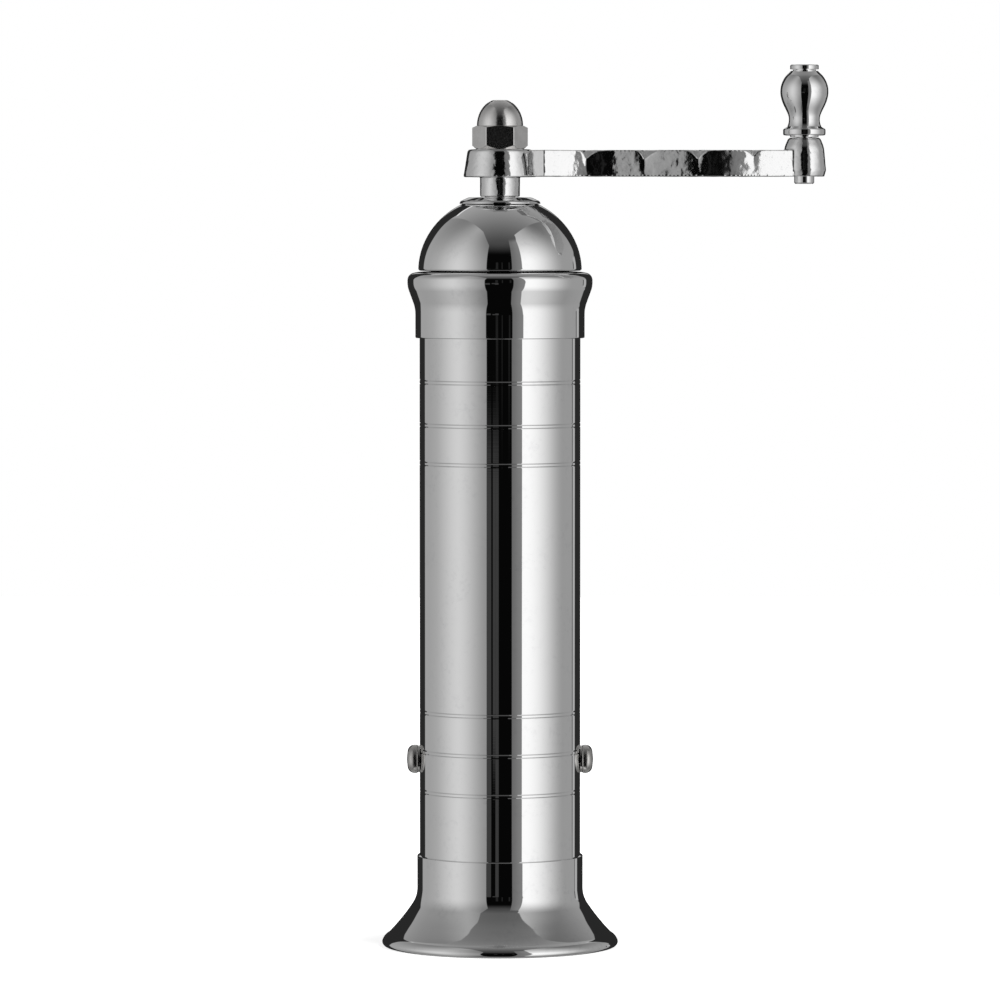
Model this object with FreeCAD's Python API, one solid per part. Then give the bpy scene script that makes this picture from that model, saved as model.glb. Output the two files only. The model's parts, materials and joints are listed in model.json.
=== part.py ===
import FreeCAD, Part
import math
import os

# A hand cranked salt mill in millimetres. The origin is the middle of the foot's underside,
# +Z is up and +X points along the crank. Each size below can be set by itself.

Vector = FreeCAD.Vector
ORIGIN = Vector(0, 0, 0)
RIGHT = Vector(1, 0, 0)
AWAY = Vector(0, 1, 0)
UP = Vector(0, 0, 1)
JOIN = 1e-6
FULL_TURN = 360.0
OVERSHOOT = 1.0

# Clearances
running_clearance = 0.05
sliding_clearance = 0.15
axial_play = 0.15
square_clearance = 0.1
square_end_clearance = 0.5
housing_clearance = 0.2
screw_hole_clearance = 0.15
thread_clearance = 0.02
press_clearance = 0.02
lid_seat_gap = 0.05
spring_end_gap = 0.05
knob_bore_clearance = 0.08
dog_shoulder_clearance = 0.3
dog_end_clearance = 0.2

# Tube
tube_outer_d = 41.8
tube_wall = 1.0
tube_length = 157.8
band_depth = 0.16
band_mouth = 0.34
band_pair_pitch = 0.93
upper_bands_below_collar = (11.4, 22.55, 32.5)
lower_bands_above_foot = (37.5, 27.2, 16.85)

# Foot
foot_height = 23.8
foot_seat_height = 15.5
foot_sleeve_wall = 0.68
foot_wall = 2.2
foot_bend_height = 12.75
foot_bend_radius = 7.6
foot_knee_inset = 4.35
foot_knee_height = 8.1
foot_knee_radius = 18.0
foot_sweep_inset = 1.75
foot_sweep_height = 5.15
foot_sweep_radius = 18.0
foot_inner_bend_radius = 6.0
foot_flare_d = 58.4
foot_rim_height = 3.45
foot_rim_ledge = 1.08
foot_rim_ledge_height = 2.41
foot_rim_ledge_round = 3.0
foot_rim_edge = 0.47
foot_rim_edge_height = 1.25
foot_rim_edge_round = 1.05
foot_land_width = 2.2
foot_lip_height = 1.2
foot_edge_round = 0.25

# Collar
collar_height = 17.4
collar_skirt_wall = 1.1
collar_lip_d = 48.1
collar_lip_depth = 3.0
collar_lip_round = 2.0
collar_sweep_depth = 9.7
collar_sweep_radius = 8.6
collar_swell_radius = 6.2
collar_shelf = 2.6
collar_mouth_d = 32.6
collar_land_width = 0.6
collar_bead_width = 2.2
collar_bead_height = 0.6
collar_bead_round = 1.0
collar_top_fall = 1.1
collar_edge_round = 0.3

# Domed lid
dome_d = 42.5
dome_height = 17.5
dome_crown = 2.05
dome_wall = 1.6
dome_edge_round = 0.6
dome_floor = 1.5
spigot_depth = 7.5
spigot_wall = 1.5

# Bush through the lid
bush_d = 12.0
bush_length = 7.95
bush_flange_d = 21.0
bush_flange_edge = 0.45
bush_cone_rise = 1.1
bush_face_d = 16.2
bush_edge_round = 0.9
bush_cone_round = 2.0
bush_nut_across_flats = 16.0
bush_nut_height = 4.4
bush_nut_chamfer = 0.6

# Shaft
shaft_d = 8.0
shaft_flats = 6.6
shaft_square = 5.6
shaft_square_length = 15.0
shaft_nut_gap = 0.6
shaft_shoulder_lift = 1.0
shaft_end_chamfer = 0.6
ring_groove_d = 6.8
ring_d = 13.0
ring_thickness = 0.8
ring_mouth = 5.0
washer_d = 14.0
washer_thickness = 0.9

# Crank: hub, neck, arm and boss in one casting
hub_bottom_d = 19.0
hub_top_d = 16.7
hub_height = 7.2
hub_top_round = 0.9
hub_bottom_round = 0.3
neck_d = 10.35
neck_height = 5.1
neck_end_round = 0.2
crank_radius = 79.0
arm_height = 6.8
arm_lift = 0.15
arm_draft = 0.55
arm_start = 7.4
arm_start_half = 0.9
arm_shoulder = 11.2
arm_shoulder_front = 8.3
arm_shoulder_back = 8.3
arm_shoulder_slope = 0.35
arm_waist = 24.6
arm_waist_front = 4.7
arm_waist_back = 4.7
arm_belly = 55.6
arm_belly_front = 9.6
arm_belly_back = 9.6
arm_end_inset = 2.9
arm_end_half = 4.9
arm_end_slope = 0.3
# Scallops: place of the cusp along the arm, depth, reach towards the hub, reach towards the knob
scallops = (
    (22.7, 2.6, 2.4, 5.8),
    (37.6, 2.6, 3.3, 6.4),
    (51.9, 2.5, 5.0, 3.7),
    (65.9, 1.8, 3.5, 2.7),
)
scallop_middle_depth = 0.3
boss_height = 10.1
boss_top_d = 8.2
boss_shoulder_d = 10.3
boss_shoulder_drop = 2.6
boss_top_round = 0.7
boss_side_round = 6.0
boss_foot_d = 11.3
boss_foot_height = 1.6
boss_foot_round = 1.2
boss_bottom_d = 10.4

# Cap nut
nut_across_flats = 12.6
nut_height = 6.1
nut_chamfer = 0.5
nut_face_inset = 0.2
cap_d = 12.0
cap_rise = 7.3
cap_height = 6.9
cap_wall = 4.0

# Knob and its pin
knob_collar_d = 8.8
knob_collar_height = 0.4
knob_flange_d = 11.0
knob_flange_height = 1.6
knob_flange_round = 0.45
knob_step_height = 0.45
knob_step_width = 0.3
knob_base_d = 8.8
knob_base_height = 2.3
knob_waist_d = 8.0
knob_waist_height = 4.2
knob_swell_d = 10.7
knob_swell_height = 7.8
knob_bulb_d = 12.45
knob_bulb_height = 11.3
knob_crown_d = 9.9
knob_crown_height = 15.2
knob_throat_d = 6.0
knob_throat_height = 16.7
knob_throat_length = 0.3
knob_throat_lip = 0.5
pin_d = 4.0
pin_head_d = 7.4
pin_head_height = 1.15
pin_head_chamfer = 0.2
pin_end_d = 5.2
pin_end_height = 1.6
pin_end_chamfer = 0.3

# Burr cartridge
housing_base_height = 35.9
housing_height = 23.0
housing_wall = 4.5
housing_ledge = 3.0
housing_outlet_d = 27.8
outer_burr_height = 16.0
outer_burr_wall = 1.6
outer_burr_gap = 0.4
outer_tooth_depth = 0.9
outer_teeth = 26
outer_tooth_lead = 0.7
outer_breaker_lead = 0.6
burr_overlap = 0.01
outer_throat_d = 20.7
outer_throat_depth = 1.5
outer_mouth_d = 24.6
outer_mouth_depth = 1.4
outer_breakers = 7
inner_burr_lift = 0.6
inner_burr_middle_d = 19.8
inner_burr_top_d = 14.6
inner_fine_height = 6.4
inner_coarse_height = 5.5
inner_tooth_depth = 0.8
inner_teeth = 24
inner_tooth_lead = 0.3
inner_breakers = 6
inner_breaker_depth = 1.9
fine_twist = 16.0
coarse_twist = 28.0
square_hole_depth = 9.5
spring_seat_d = 14.0
spring_seat_bore = 8.6
spring_seat_thickness = 0.8
spring_mean_d = 11.4
spring_wire_d = 1.1
spring_turns = 3.5
guide_thickness = 3.5
guide_width = 10.0
guide_boss_d = 14.0
guide_boss_height = 6.0

# Thrust ball, adjusting screw and lower bridge
ball_d = 4.0
ball_clearance = 0.1
ball_seat_depth = 1.15
adjuster_d = 6.0
adjuster_cup_depth = 1.0
adjuster_free_length = 2.0
adjuster_head_d = 14.0
adjuster_head_height = 5.0
adjuster_head_chamfer = 0.8
adjuster_flutes = 14
adjuster_flute_d = 2.0
adjuster_flute_bite = 0.55
bridge_thickness = 4.0
bridge_width = 9.0
bridge_boss_d = 11.0
bridge_boss_height = 6.0

# Small screws that hold the two bridges
bar_screw_inset = 2.5
bar_screw_d = 2.5
bar_screw_head_d = 4.5
bar_screw_head_height = 1.7
bar_screw_head_round = 0.6
bar_screw_reach = 6.0
bar_screw_slot_width = 0.7
bar_screw_slot_depth = 0.7

# Side screws
side_screw_height = 49.0
side_screw_d = 4.0
side_screw_head_d = 7.0
side_screw_head_height = 2.95
side_screw_head_round = 1.1
side_screw_under_round = 0.3
side_screw_dome = 0.4
side_screw_slot_width = 0.9
side_screw_slot_depth = 0.9
side_screw_dog_d = 2.8
side_screw_dog_length = 1.6
side_washer_d = 7.0
side_washer_thickness = 0.5

# Radii and levels that follow from the sizes above
tube_r = tube_outer_d / 2
bore_r = tube_r - tube_wall
press_r = tube_r + press_clearance
sleeve_r = tube_r + foot_sleeve_wall
skirt_r = tube_r + collar_skirt_wall
shaft_r = shaft_d / 2
shaft_bore_r = shaft_r + running_clearance

tube_bottom = foot_seat_height
tube_top = tube_bottom + tube_length
collar_top = tube_top + collar_shelf
collar_bottom = collar_top - collar_height
dome_base = collar_top + lid_seat_gap
dome_rise = dome_height + dome_crown
dome_top = dome_base + dome_height
bush_face = dome_top + bush_flange_edge + bush_cone_rise
bush_bottom = dome_top - bush_length
washer_top = bush_bottom - axial_play
ring_top = washer_top - washer_thickness
neck_bottom = bush_face + axial_play
hub_bottom = neck_bottom + neck_height
hub_top = hub_bottom + hub_height
drive_shoulder = hub_bottom + shaft_shoulder_lift
nut_bore_top = hub_top + nut_height + cap_height - cap_wall
shaft_top = nut_bore_top - shaft_nut_gap
arm_end = crank_radius - arm_end_inset
arm_bottom = hub_bottom + arm_lift
arm_top = arm_bottom + arm_height
boss_top = arm_bottom + boss_height
knob_bottom = boss_top + axial_play
knob_flange_bottom = knob_bottom + knob_collar_height
knob_top = knob_flange_bottom + knob_throat_height + knob_throat_length
pin_head_bottom = knob_top + axial_play

housing_r = bore_r - housing_clearance
pocket_r = housing_r - housing_wall
housing_top = housing_base_height + housing_height
bar_screw_r = housing_r - bar_screw_inset
ledge_top = housing_base_height + housing_ledge
inner_burr_bottom = ledge_top + inner_burr_lift
inner_burr_base_r = (
    pocket_r - running_clearance - outer_burr_wall - outer_tooth_depth - outer_burr_gap
)
inner_burr_middle = inner_burr_bottom + inner_fine_height
inner_burr_top = inner_burr_middle + inner_coarse_height
spring_bottom = inner_burr_top + spring_seat_thickness
bridge_bottom = housing_base_height - bridge_thickness
ball_top = inner_burr_bottom + ball_seat_depth
ball_middle = ball_top - ball_d / 2
adjuster_cup_floor = ball_middle - ball_d / 2 - ball_clearance
adjuster_tip = adjuster_cup_floor + adjuster_cup_depth
bridge_boss_bottom = housing_base_height - bridge_boss_height
adjuster_head_top = bridge_boss_bottom - adjuster_free_length
adjuster_head_bottom = adjuster_head_top - adjuster_head_height
shaft_bottom = inner_burr_top - square_hole_depth + square_end_clearance


def line(start, end):
    return Part.LineSegment(start, end).toShape()


def run(*points):
    """Edges through (radius, height) points in the X-Z plane.

    A point with a third number is a corner that is rounded by that radius. Where two rounds
    would need more than the side between them, both are made smaller.
    """
    places = [Vector(point[0], 0, point[1]) for point in points]
    last = len(points) - 1
    halves = [0.0] * len(points)
    reaches = [0.0] * len(points)
    for i in range(1, last):
        if len(points[i]) == 3:
            before = places[i - 1] - places[i]
            after = places[i + 1] - places[i]
            halves[i] = before.getAngle(after) / 2
            reaches[i] = points[i][2] / math.tan(halves[i])
    for i in range(last):
        side = places[i].distanceToPoint(places[i + 1])
        needed = reaches[i] + reaches[i + 1]
        if needed > side:
            reaches[i] *= side / needed
            reaches[i + 1] *= side / needed
    edges = []
    at = places[0]
    for i in range(1, last):
        corner = places[i]
        if reaches[i] == 0:
            edges.append(line(at, corner))
            at = corner
            continue
        before = (places[i - 1] - corner).normalize()
        after = (places[i + 1] - corner).normalize()
        radius = reaches[i] * math.tan(halves[i])
        middle = (before + after).normalize()
        begin = corner + before * reaches[i]
        end = corner + after * reaches[i]
        crest = corner + middle * (radius / math.sin(halves[i]) - radius)
        if begin.distanceToPoint(at) > JOIN:
            edges.append(line(at, begin))
        edges.append(Part.Arc(begin, crest, end).toShape())
        at = end
    if places[-1].distanceToPoint(at) > JOIN:
        edges.append(line(at, places[-1]))
    return edges


def spline(points, flat=()):
    """One smooth edge through (x, z) points, level or upright where flat names a direction."""
    curve = Part.BSplineCurve()
    places = [Vector(x, 0, z) for x, z in points]
    if flat:
        tangents = [direction or Vector(0, 0, 0) for direction in flat]
        flags = [direction is not None for direction in flat]
        curve.interpolate(Points=places, Tangents=tangents, TangentFlags=flags)
    else:
        curve.interpolate(places)
    return [curve.toShape()]


def oval(half_width, half_height, base, from_height, to_height):
    """The outer side of an ellipse about (0, base), between two heights above base."""
    wide = Vector(half_width, 0, base)
    high = Vector(0, 0, base + half_height)
    centre = Vector(0, 0, base)
    if half_width > half_height:
        ellipse = Part.Ellipse(wide, high, centre)
    else:
        ellipse = Part.Ellipse(high, wide, centre)
    ends = []
    for height in (from_height, to_height):
        share = math.sqrt(max(0.0, 1 - (height / half_height) ** 2))
        ends.append(ellipse.parameter(Vector(half_width * share, 0, base + height)))
    edge = Part.ArcOfEllipse(ellipse, min(ends), max(ends)).toShape()
    return [edge]


def oval_radius(half_width, half_height, height):
    return half_width * math.sqrt(max(0.0, 1 - (height / half_height) ** 2))


def closed_face(edges, begin, end):
    """A face bounded by the edges and, if they leave a gap, a straight line from end to begin."""
    if begin.distanceToPoint(end) > JOIN:
        edges = edges + [line(end, begin)]
    return Part.Face(Part.Wire(Part.__sortEdges__(edges)))


def turned(edges, begin=None, end=None):
    """A solid turned about Z from an outline; begin and end are its open ends, if it has any."""
    if begin is None:
        face = Part.Face(Part.Wire(Part.__sortEdges__(edges)))
    else:
        face = closed_face(edges, Vector(begin[0], 0, begin[1]), Vector(end[0], 0, end[1]))
    return face.revolve(ORIGIN, UP, FULL_TURN)


def ring(outer_r, inner_r, bottom, top):
    return cylinder(outer_r, bottom, top).cut(
        cylinder(inner_r, bottom - OVERSHOOT, top + OVERSHOOT)
    )


def cylinder(radius, bottom, top):
    return Part.makeCylinder(radius, top - bottom, Vector(0, 0, bottom), UP)


def block(x0, x1, y0, y1, z0, z1):
    return Part.makeBox(x1 - x0, y1 - y0, z1 - z0, Vector(x0, y0, z0))


def hexagon(across_flats, bottom, top):
    """A hexagon bar with one flat facing the front."""
    corner = across_flats / math.sqrt(3)
    points = [
        Vector(corner * math.cos(math.radians(60 * i)), corner * math.sin(math.radians(60 * i)), bottom)
        for i in range(7)
    ]
    return Part.Face(Part.makePolygon(points)).extrude(UP * (top - bottom))


def chamfered_hexagon(across_flats, bottom, top, chamfer):
    """A hexagon nut body whose corners are turned off at both faces."""
    corner = across_flats / math.sqrt(3)
    face_r = across_flats / 2 - nut_face_inset
    lathe = turned(
        run(
            (0, bottom),
            (face_r, bottom),
            (corner, bottom + chamfer),
            (corner, top - chamfer),
            (face_r, top),
            (0, top),
        ),
        (0, bottom),
        (0, top),
    )
    return hexagon(across_flats, bottom, top).common(lathe)


def save(name, shape):
    """Write one node's solids, after a look at their soundness."""
    if not shape.isValid():
        raise ValueError(name + " is not a sound solid")
    for solid in shape.Solids:
        if solid.Volume <= 0:
            raise ValueError(name + " has a solid with no volume")
    shape.exportStep("parts/" + name + ".step")
    print(name, len(shape.Solids), round(shape.Volume / 1000, 3))


# Body


def band_heights():
    """The heights of the twelve scribed lines, which lie in pairs."""
    middles = [collar_bottom - drop for drop in upper_bands_below_collar]
    middles += [foot_height + rise for rise in lower_bands_above_foot]
    half = band_pair_pitch / 2
    return sorted(middle + side * half for middle in middles for side in (-1, 1))


def make_body_tube():
    points = [(bore_r, tube_bottom), (tube_r, tube_bottom)]
    for height in band_heights():
        points.append((tube_r, height - band_mouth / 2))
        points.append((tube_r - band_depth, height))
        points.append((tube_r, height + band_mouth / 2))
    points += [(tube_r, tube_top), (bore_r, tube_top)]
    tube = turned(run(*points), (bore_r, tube_bottom), (bore_r, tube_top))
    hole_r = side_screw_d / 2 + screw_hole_clearance
    reach = tube_r + OVERSHOOT
    drill = Part.makeCylinder(hole_r, 2 * reach, Vector(-reach, 0, side_screw_height), RIGHT)
    return tube.cut(drill)


def make_foot():
    flare_r = foot_flare_d / 2
    knee_r = flare_r - foot_knee_inset
    sweep_r = flare_r - foot_sweep_inset
    ledge_r = flare_r + foot_rim_ledge
    rim_r = ledge_r + foot_rim_edge
    land_r = rim_r - foot_rim_edge_round - foot_land_width
    inner_r = sleeve_r - foot_wall
    slope = (knee_r - sleeve_r) / (foot_bend_height - foot_knee_height)
    # The wall keeps its thickness round the bend
    inner_bend = foot_bend_height - foot_wall * math.tan(math.atan(slope) / 2)
    section = run(
        (press_r, foot_height),
        (sleeve_r, foot_height, foot_edge_round),
        (sleeve_r, foot_bend_height, foot_bend_radius),
        (knee_r, foot_knee_height, foot_knee_radius),
        (sweep_r, foot_sweep_height, foot_sweep_radius),
        (flare_r, foot_rim_height),
        (ledge_r, foot_rim_ledge_height, foot_rim_ledge_round),
        (rim_r, foot_rim_edge_height, foot_rim_edge_round),
        (rim_r, 0, foot_rim_edge_round),
        (land_r, 0),
        (land_r, foot_lip_height),
        (inner_r, inner_bend, foot_inner_bend_radius),
        (inner_r, foot_seat_height),
        (press_r, foot_seat_height),
    )
    return turned(section, (press_r, foot_height), (press_r, foot_seat_height))


def make_collar():
    lip_r = collar_lip_d / 2
    mouth_r = collar_mouth_d / 2
    land_r = mouth_r + collar_land_width
    lip_top = collar_top - collar_top_fall
    sweep_bottom = collar_top - collar_sweep_depth
    section = run(
        (press_r, collar_bottom),
        (skirt_r, collar_bottom, collar_edge_round),
        (skirt_r, sweep_bottom, collar_sweep_radius),
        (lip_r, lip_top - collar_lip_depth, collar_swell_radius),
        (lip_r, lip_top, collar_lip_round),
        (land_r + collar_bead_width, collar_top - collar_bead_height, collar_bead_round),
        (land_r, collar_top),
        (mouth_r, collar_top),
        (mouth_r, tube_top),
        (press_r, tube_top),
    )
    return turned(section, (press_r, collar_bottom), (press_r, tube_top))


# Lid


def make_dome():
    outer_r = dome_d / 2
    inner_r = outer_r - dome_wall
    inner_rise = dome_rise - dome_wall
    spigot_r = collar_mouth_d / 2 - sliding_clearance
    spigot_bore_r = spigot_r - spigot_wall
    spigot_bottom = dome_base - spigot_depth
    floor_top = dome_base + dome_floor
    ceiling = dome_height - dome_wall
    outer_top_r = oval_radius(outer_r, dome_rise, dome_height)
    inner_top_r = oval_radius(inner_r, inner_rise, ceiling)
    undercut = inner_r - spigot_bore_r
    wall_start = dome_floor + undercut
    wall_start_r = oval_radius(inner_r, inner_rise, wall_start)
    rim_r = oval_radius(outer_r, dome_rise, dome_edge_round)
    edges = oval(outer_r, dome_rise, dome_base, dome_edge_round, dome_height)
    edges += run((outer_top_r, dome_top), (0, dome_top), (0, dome_base + ceiling))
    edges += run((0, dome_base + ceiling), (inner_top_r, dome_base + ceiling))
    edges += oval(inner_r, inner_rise, dome_base, wall_start, ceiling)
    edges += run(
        (wall_start_r, dome_base + wall_start),
        (spigot_bore_r, floor_top),
        (spigot_bore_r, spigot_bottom),
        (spigot_r, spigot_bottom),
        (spigot_r, dome_base),
        (rim_r, dome_base, dome_edge_round),
        (rim_r, dome_base + dome_edge_round),
    )
    shell = turned(edges)
    hole = cylinder(bush_d / 2 + running_clearance, dome_base, dome_top + OVERSHOOT)
    return shell.cut(hole)


def make_top_bush():
    flange_r = bush_flange_d / 2
    barrel_r = bush_d / 2
    edge_top = dome_top + bush_flange_edge
    return turned(
        run(
            (shaft_bore_r, bush_bottom),
            (barrel_r, bush_bottom),
            (barrel_r, dome_top),
            (flange_r, dome_top),
            (flange_r, edge_top, bush_edge_round),
            (bush_face_d / 2, bush_face, bush_cone_round),
            (shaft_bore_r, bush_face),
        ),
        (shaft_bore_r, bush_bottom),
        (shaft_bore_r, bush_face),
    )


def make_bush_nut():
    top = dome_top - dome_wall
    bottom = top - bush_nut_height
    body = chamfered_hexagon(bush_nut_across_flats, bottom, top, bush_nut_chamfer)
    return body.cut(cylinder(bush_d / 2 + thread_clearance, bottom - OVERSHOOT, top + OVERSHOOT))


# Crank


def double_flat(radius, across, bottom, top):
    """A round bar with two flats, which face the front and the back."""
    sides = block(-radius, radius, -across / 2, across / 2, bottom, top)
    return cylinder(radius, bottom, top).common(sides)


def make_drive_shaft():
    square_top = shaft_bottom + shaft_square_length
    half = shaft_square / 2
    rod = turned(
        run(
            (0, shaft_bottom),
            (shaft_r - shaft_end_chamfer, shaft_bottom),
            (shaft_r, shaft_bottom + shaft_end_chamfer),
            (shaft_r, ring_top - ring_thickness),
            (ring_groove_d / 2, ring_top - ring_thickness),
            (ring_groove_d / 2, ring_top),
            (shaft_r, ring_top),
            (shaft_r, shaft_top - shaft_end_chamfer),
            (shaft_r - shaft_end_chamfer, shaft_top),
            (0, shaft_top),
        ),
        (0, shaft_bottom),
        (0, shaft_top),
    )
    mill = cylinder(shaft_d, shaft_bottom - OVERSHOOT, square_top)
    mill = mill.cut(block(-half, half, -half, half, shaft_bottom - OVERSHOOT, square_top))
    flats = cylinder(shaft_d, drive_shoulder, shaft_top + OVERSHOOT)
    flat = shaft_flats / 2
    flats = flats.cut(
        block(-shaft_d, shaft_d, -flat, flat, drive_shoulder, shaft_top + OVERSHOOT)
    )
    return rod.cut(mill).cut(flats)


def arm_outline(inset, height):
    """The arm seen from above: it has a shoulder, a waist, a belly and a cut end on each side."""

    def side(sign, shoulder, waist, belly):
        points = [
            Vector(arm_start, sign * (arm_start_half - inset), height),
            Vector(arm_shoulder, sign * (shoulder - inset), height),
            Vector(arm_waist, sign * (waist - inset), height),
            Vector(arm_belly, sign * (belly - inset), height),
            Vector(arm_end, sign * (arm_end_half - inset), height),
        ]
        loose = Vector(0, 0, 0)
        after_shoulder = Vector(1, -sign * arm_shoulder_slope, 0)
        to_end = Vector(1, -sign * arm_end_slope, 0)
        curve = Part.BSplineCurve()
        curve.interpolate(
            Points=points,
            Tangents=[loose, after_shoulder, RIGHT, RIGHT, to_end],
            TangentFlags=[False, True, True, True, True],
        )
        return curve.toShape(), points[0], points[-1]

    front, front_start, front_end = side(-1, arm_shoulder_front, arm_waist_front, arm_belly_front)
    back, back_start, back_end = side(1, arm_shoulder_back, arm_waist_back, arm_belly_back)
    edges = [front, line(front_end, back_end), back, line(back_start, front_start)]
    return Part.Wire(Part.__sortEdges__(edges))


def arm_half_width(place, waist, belly):
    """About how far the arm's side stands from its middle at a place along the arm."""
    if place < arm_belly:
        share = max(0.0, (place - arm_waist) / (arm_belly - arm_waist))
        return waist + (belly - waist) * (3 * share**2 - 2 * share**3)
    share = (place - arm_belly) / (arm_end - arm_belly)
    return belly + (arm_end_half - belly) * share**2


def scallop_cutter(cusp, depth, towards_hub, towards_knob, side, half_width):
    """A notch in the arm's top edge: two arcs meet in a cusp, and it runs out at the middle."""
    slope = (depth - scallop_middle_depth) / half_width
    outside = half_width + 2 * OVERSHOOT
    lift = -2 * OVERSHOOT * slope
    top = arm_top + lift

    def flank(reach, direction):
        radius = (reach**2 + depth**2) / (2 * depth)
        turn = math.asin(reach / radius) if radius >= depth else math.pi / 2
        centre = Vector(cusp + direction * reach, side * outside, top - radius)
        middle = centre + Vector(-direction * math.sin(turn / 2), 0, math.cos(turn / 2)) * radius
        shoulder = centre + UP * radius
        return shoulder, middle

    low = Vector(cusp, side * outside, top - depth)
    left, left_middle = flank(towards_hub, -1)
    right, right_middle = flank(towards_knob, 1)
    roof = UP * (arm_height + OVERSHOOT)
    edges = [
        Part.Arc(left, left_middle, low).toShape(),
        Part.Arc(low, right_middle, right).toShape(),
        line(right, right + roof),
        line(right + roof, left + roof),
        line(left + roof, left),
    ]
    length = outside + OVERSHOOT
    face = Part.Face(Part.Wire(edges))
    return face.extrude(Vector(0, -side * length, length * slope))


def make_crank_arm():
    hub = turned(
        run(
            (0, neck_bottom),
            (neck_d / 2, neck_bottom, neck_end_round),
            (neck_d / 2, hub_bottom),
            (hub_bottom_d / 2, hub_bottom, hub_bottom_round),
            (hub_top_d / 2, hub_top, hub_top_round),
            (0, hub_top),
        ),
        (0, neck_bottom),
        (0, hub_top),
    )
    arm = Part.makeLoft([arm_outline(0, arm_bottom), arm_outline(arm_draft, arm_top)], True, True)
    for cusp, depth, towards_hub, towards_knob in scallops:
        for side, waist, belly in (
            (-1, arm_waist_front, arm_belly_front),
            (1, arm_waist_back, arm_belly_back),
        ):
            half_width = arm_half_width(cusp, waist, belly) - arm_draft
            arm = arm.cut(
                scallop_cutter(cusp, depth, towards_hub, towards_knob, side, half_width)
            )
    foot_top = arm_bottom + boss_foot_height
    boss = turned(
        run(
            (0, arm_bottom),
            (boss_bottom_d / 2, arm_bottom),
            (boss_foot_d / 2, foot_top, boss_foot_round),
            (boss_shoulder_d / 2, boss_top - boss_shoulder_drop, boss_side_round),
            (boss_top_d / 2, boss_top, boss_top_round),
            (0, boss_top),
        ),
        (0, arm_bottom),
        (0, boss_top),
    )
    boss.translate(RIGHT * crank_radius)
    casting = hub.fuse([arm, boss])
    flats = shaft_flats + 2 * running_clearance
    casting = casting.cut(cylinder(shaft_bore_r, neck_bottom - OVERSHOOT, drive_shoulder))
    casting = casting.cut(double_flat(shaft_bore_r, flats, drive_shoulder, hub_top + OVERSHOOT))
    pin_hole = cylinder(pin_d / 2 + thread_clearance, arm_bottom - OVERSHOOT, boss_top + OVERSHOOT)
    pin_hole.translate(RIGHT * crank_radius)
    return casting.cut(pin_hole).removeSplitter()


def make_cap_nut():
    hex_top = hub_top + nut_height
    body = chamfered_hexagon(nut_across_flats, hub_top, hex_top, nut_chamfer)
    cap_r = cap_d / 2
    flat_r = oval_radius(cap_r, cap_rise, cap_height)
    cap_top = hex_top + cap_height
    root = hub_top + nut_height / 2
    edges = oval(cap_r, cap_rise, hex_top, 0, cap_height)
    edges += run((flat_r, cap_top), (0, cap_top), (0, root), (cap_r, root), (cap_r, hex_top))
    cap = turned(edges)
    bore = cylinder(shaft_r + thread_clearance, hub_top - OVERSHOOT, nut_bore_top)
    return body.fuse(cap).cut(bore)


def make_retaining_ring():
    clip = ring(ring_d / 2, ring_groove_d / 2, ring_top - ring_thickness, ring_top)
    half = ring_mouth / 2
    mouth = block(0, ring_d, -half, half, ring_top - ring_thickness, ring_top)
    return clip.cut(mouth)


def make_thrust_washer():
    return ring(washer_d / 2, shaft_bore_r, ring_top, washer_top)


def make_knob():
    base = knob_flange_bottom
    bore_r = pin_d / 2 + knob_bore_clearance
    flange_r = knob_flange_d / 2
    flange_top = base + knob_flange_height
    lower = run(
        (bore_r, knob_bottom),
        (knob_collar_d / 2, knob_bottom),
        (knob_collar_d / 2, base),
        (flange_r, base, knob_flange_round),
        (flange_r, flange_top, knob_flange_round),
        (knob_base_d / 2 + knob_step_width, flange_top + knob_step_height),
        (knob_base_d / 2, base + knob_base_height),
    )
    bulb = spline(
        [
            (knob_base_d / 2, base + knob_base_height),
            (knob_waist_d / 2, base + knob_waist_height),
            (knob_swell_d / 2, base + knob_swell_height),
            (knob_bulb_d / 2, base + knob_bulb_height),
            (knob_crown_d / 2, base + knob_crown_height),
            (knob_throat_d / 2 + knob_throat_lip, base + knob_throat_height),
        ],
        (None, UP, None, UP, None, None),
    )
    upper = run(
        (knob_throat_d / 2 + knob_throat_lip, base + knob_throat_height),
        (knob_throat_d / 2, base + knob_throat_height),
        (knob_throat_d / 2, knob_top),
        (bore_r, knob_top),
    )
    solid = turned(lower + bulb + upper, (bore_r, knob_bottom), (bore_r, knob_top))
    solid.translate(RIGHT * crank_radius)
    return solid


def make_knob_pin():
    top = pin_head_bottom + pin_head_height
    bottom = arm_bottom - pin_end_height
    pin_r = pin_d / 2
    solid = turned(
        run(
            (0, bottom),
            (pin_end_d / 2 - pin_end_chamfer, bottom),
            (pin_end_d / 2, bottom + pin_end_chamfer),
            (pin_end_d / 2, arm_bottom),
            (pin_r, arm_bottom),
            (pin_r, pin_head_bottom),
            (pin_head_d / 2, pin_head_bottom),
            (pin_head_d / 2, top - pin_head_chamfer),
            (pin_head_d / 2 - pin_head_chamfer, top),
            (0, top),
        ),
        (0, bottom),
        (0, top),
    )
    solid.translate(RIGHT * crank_radius)
    return solid


# Burrs


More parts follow.
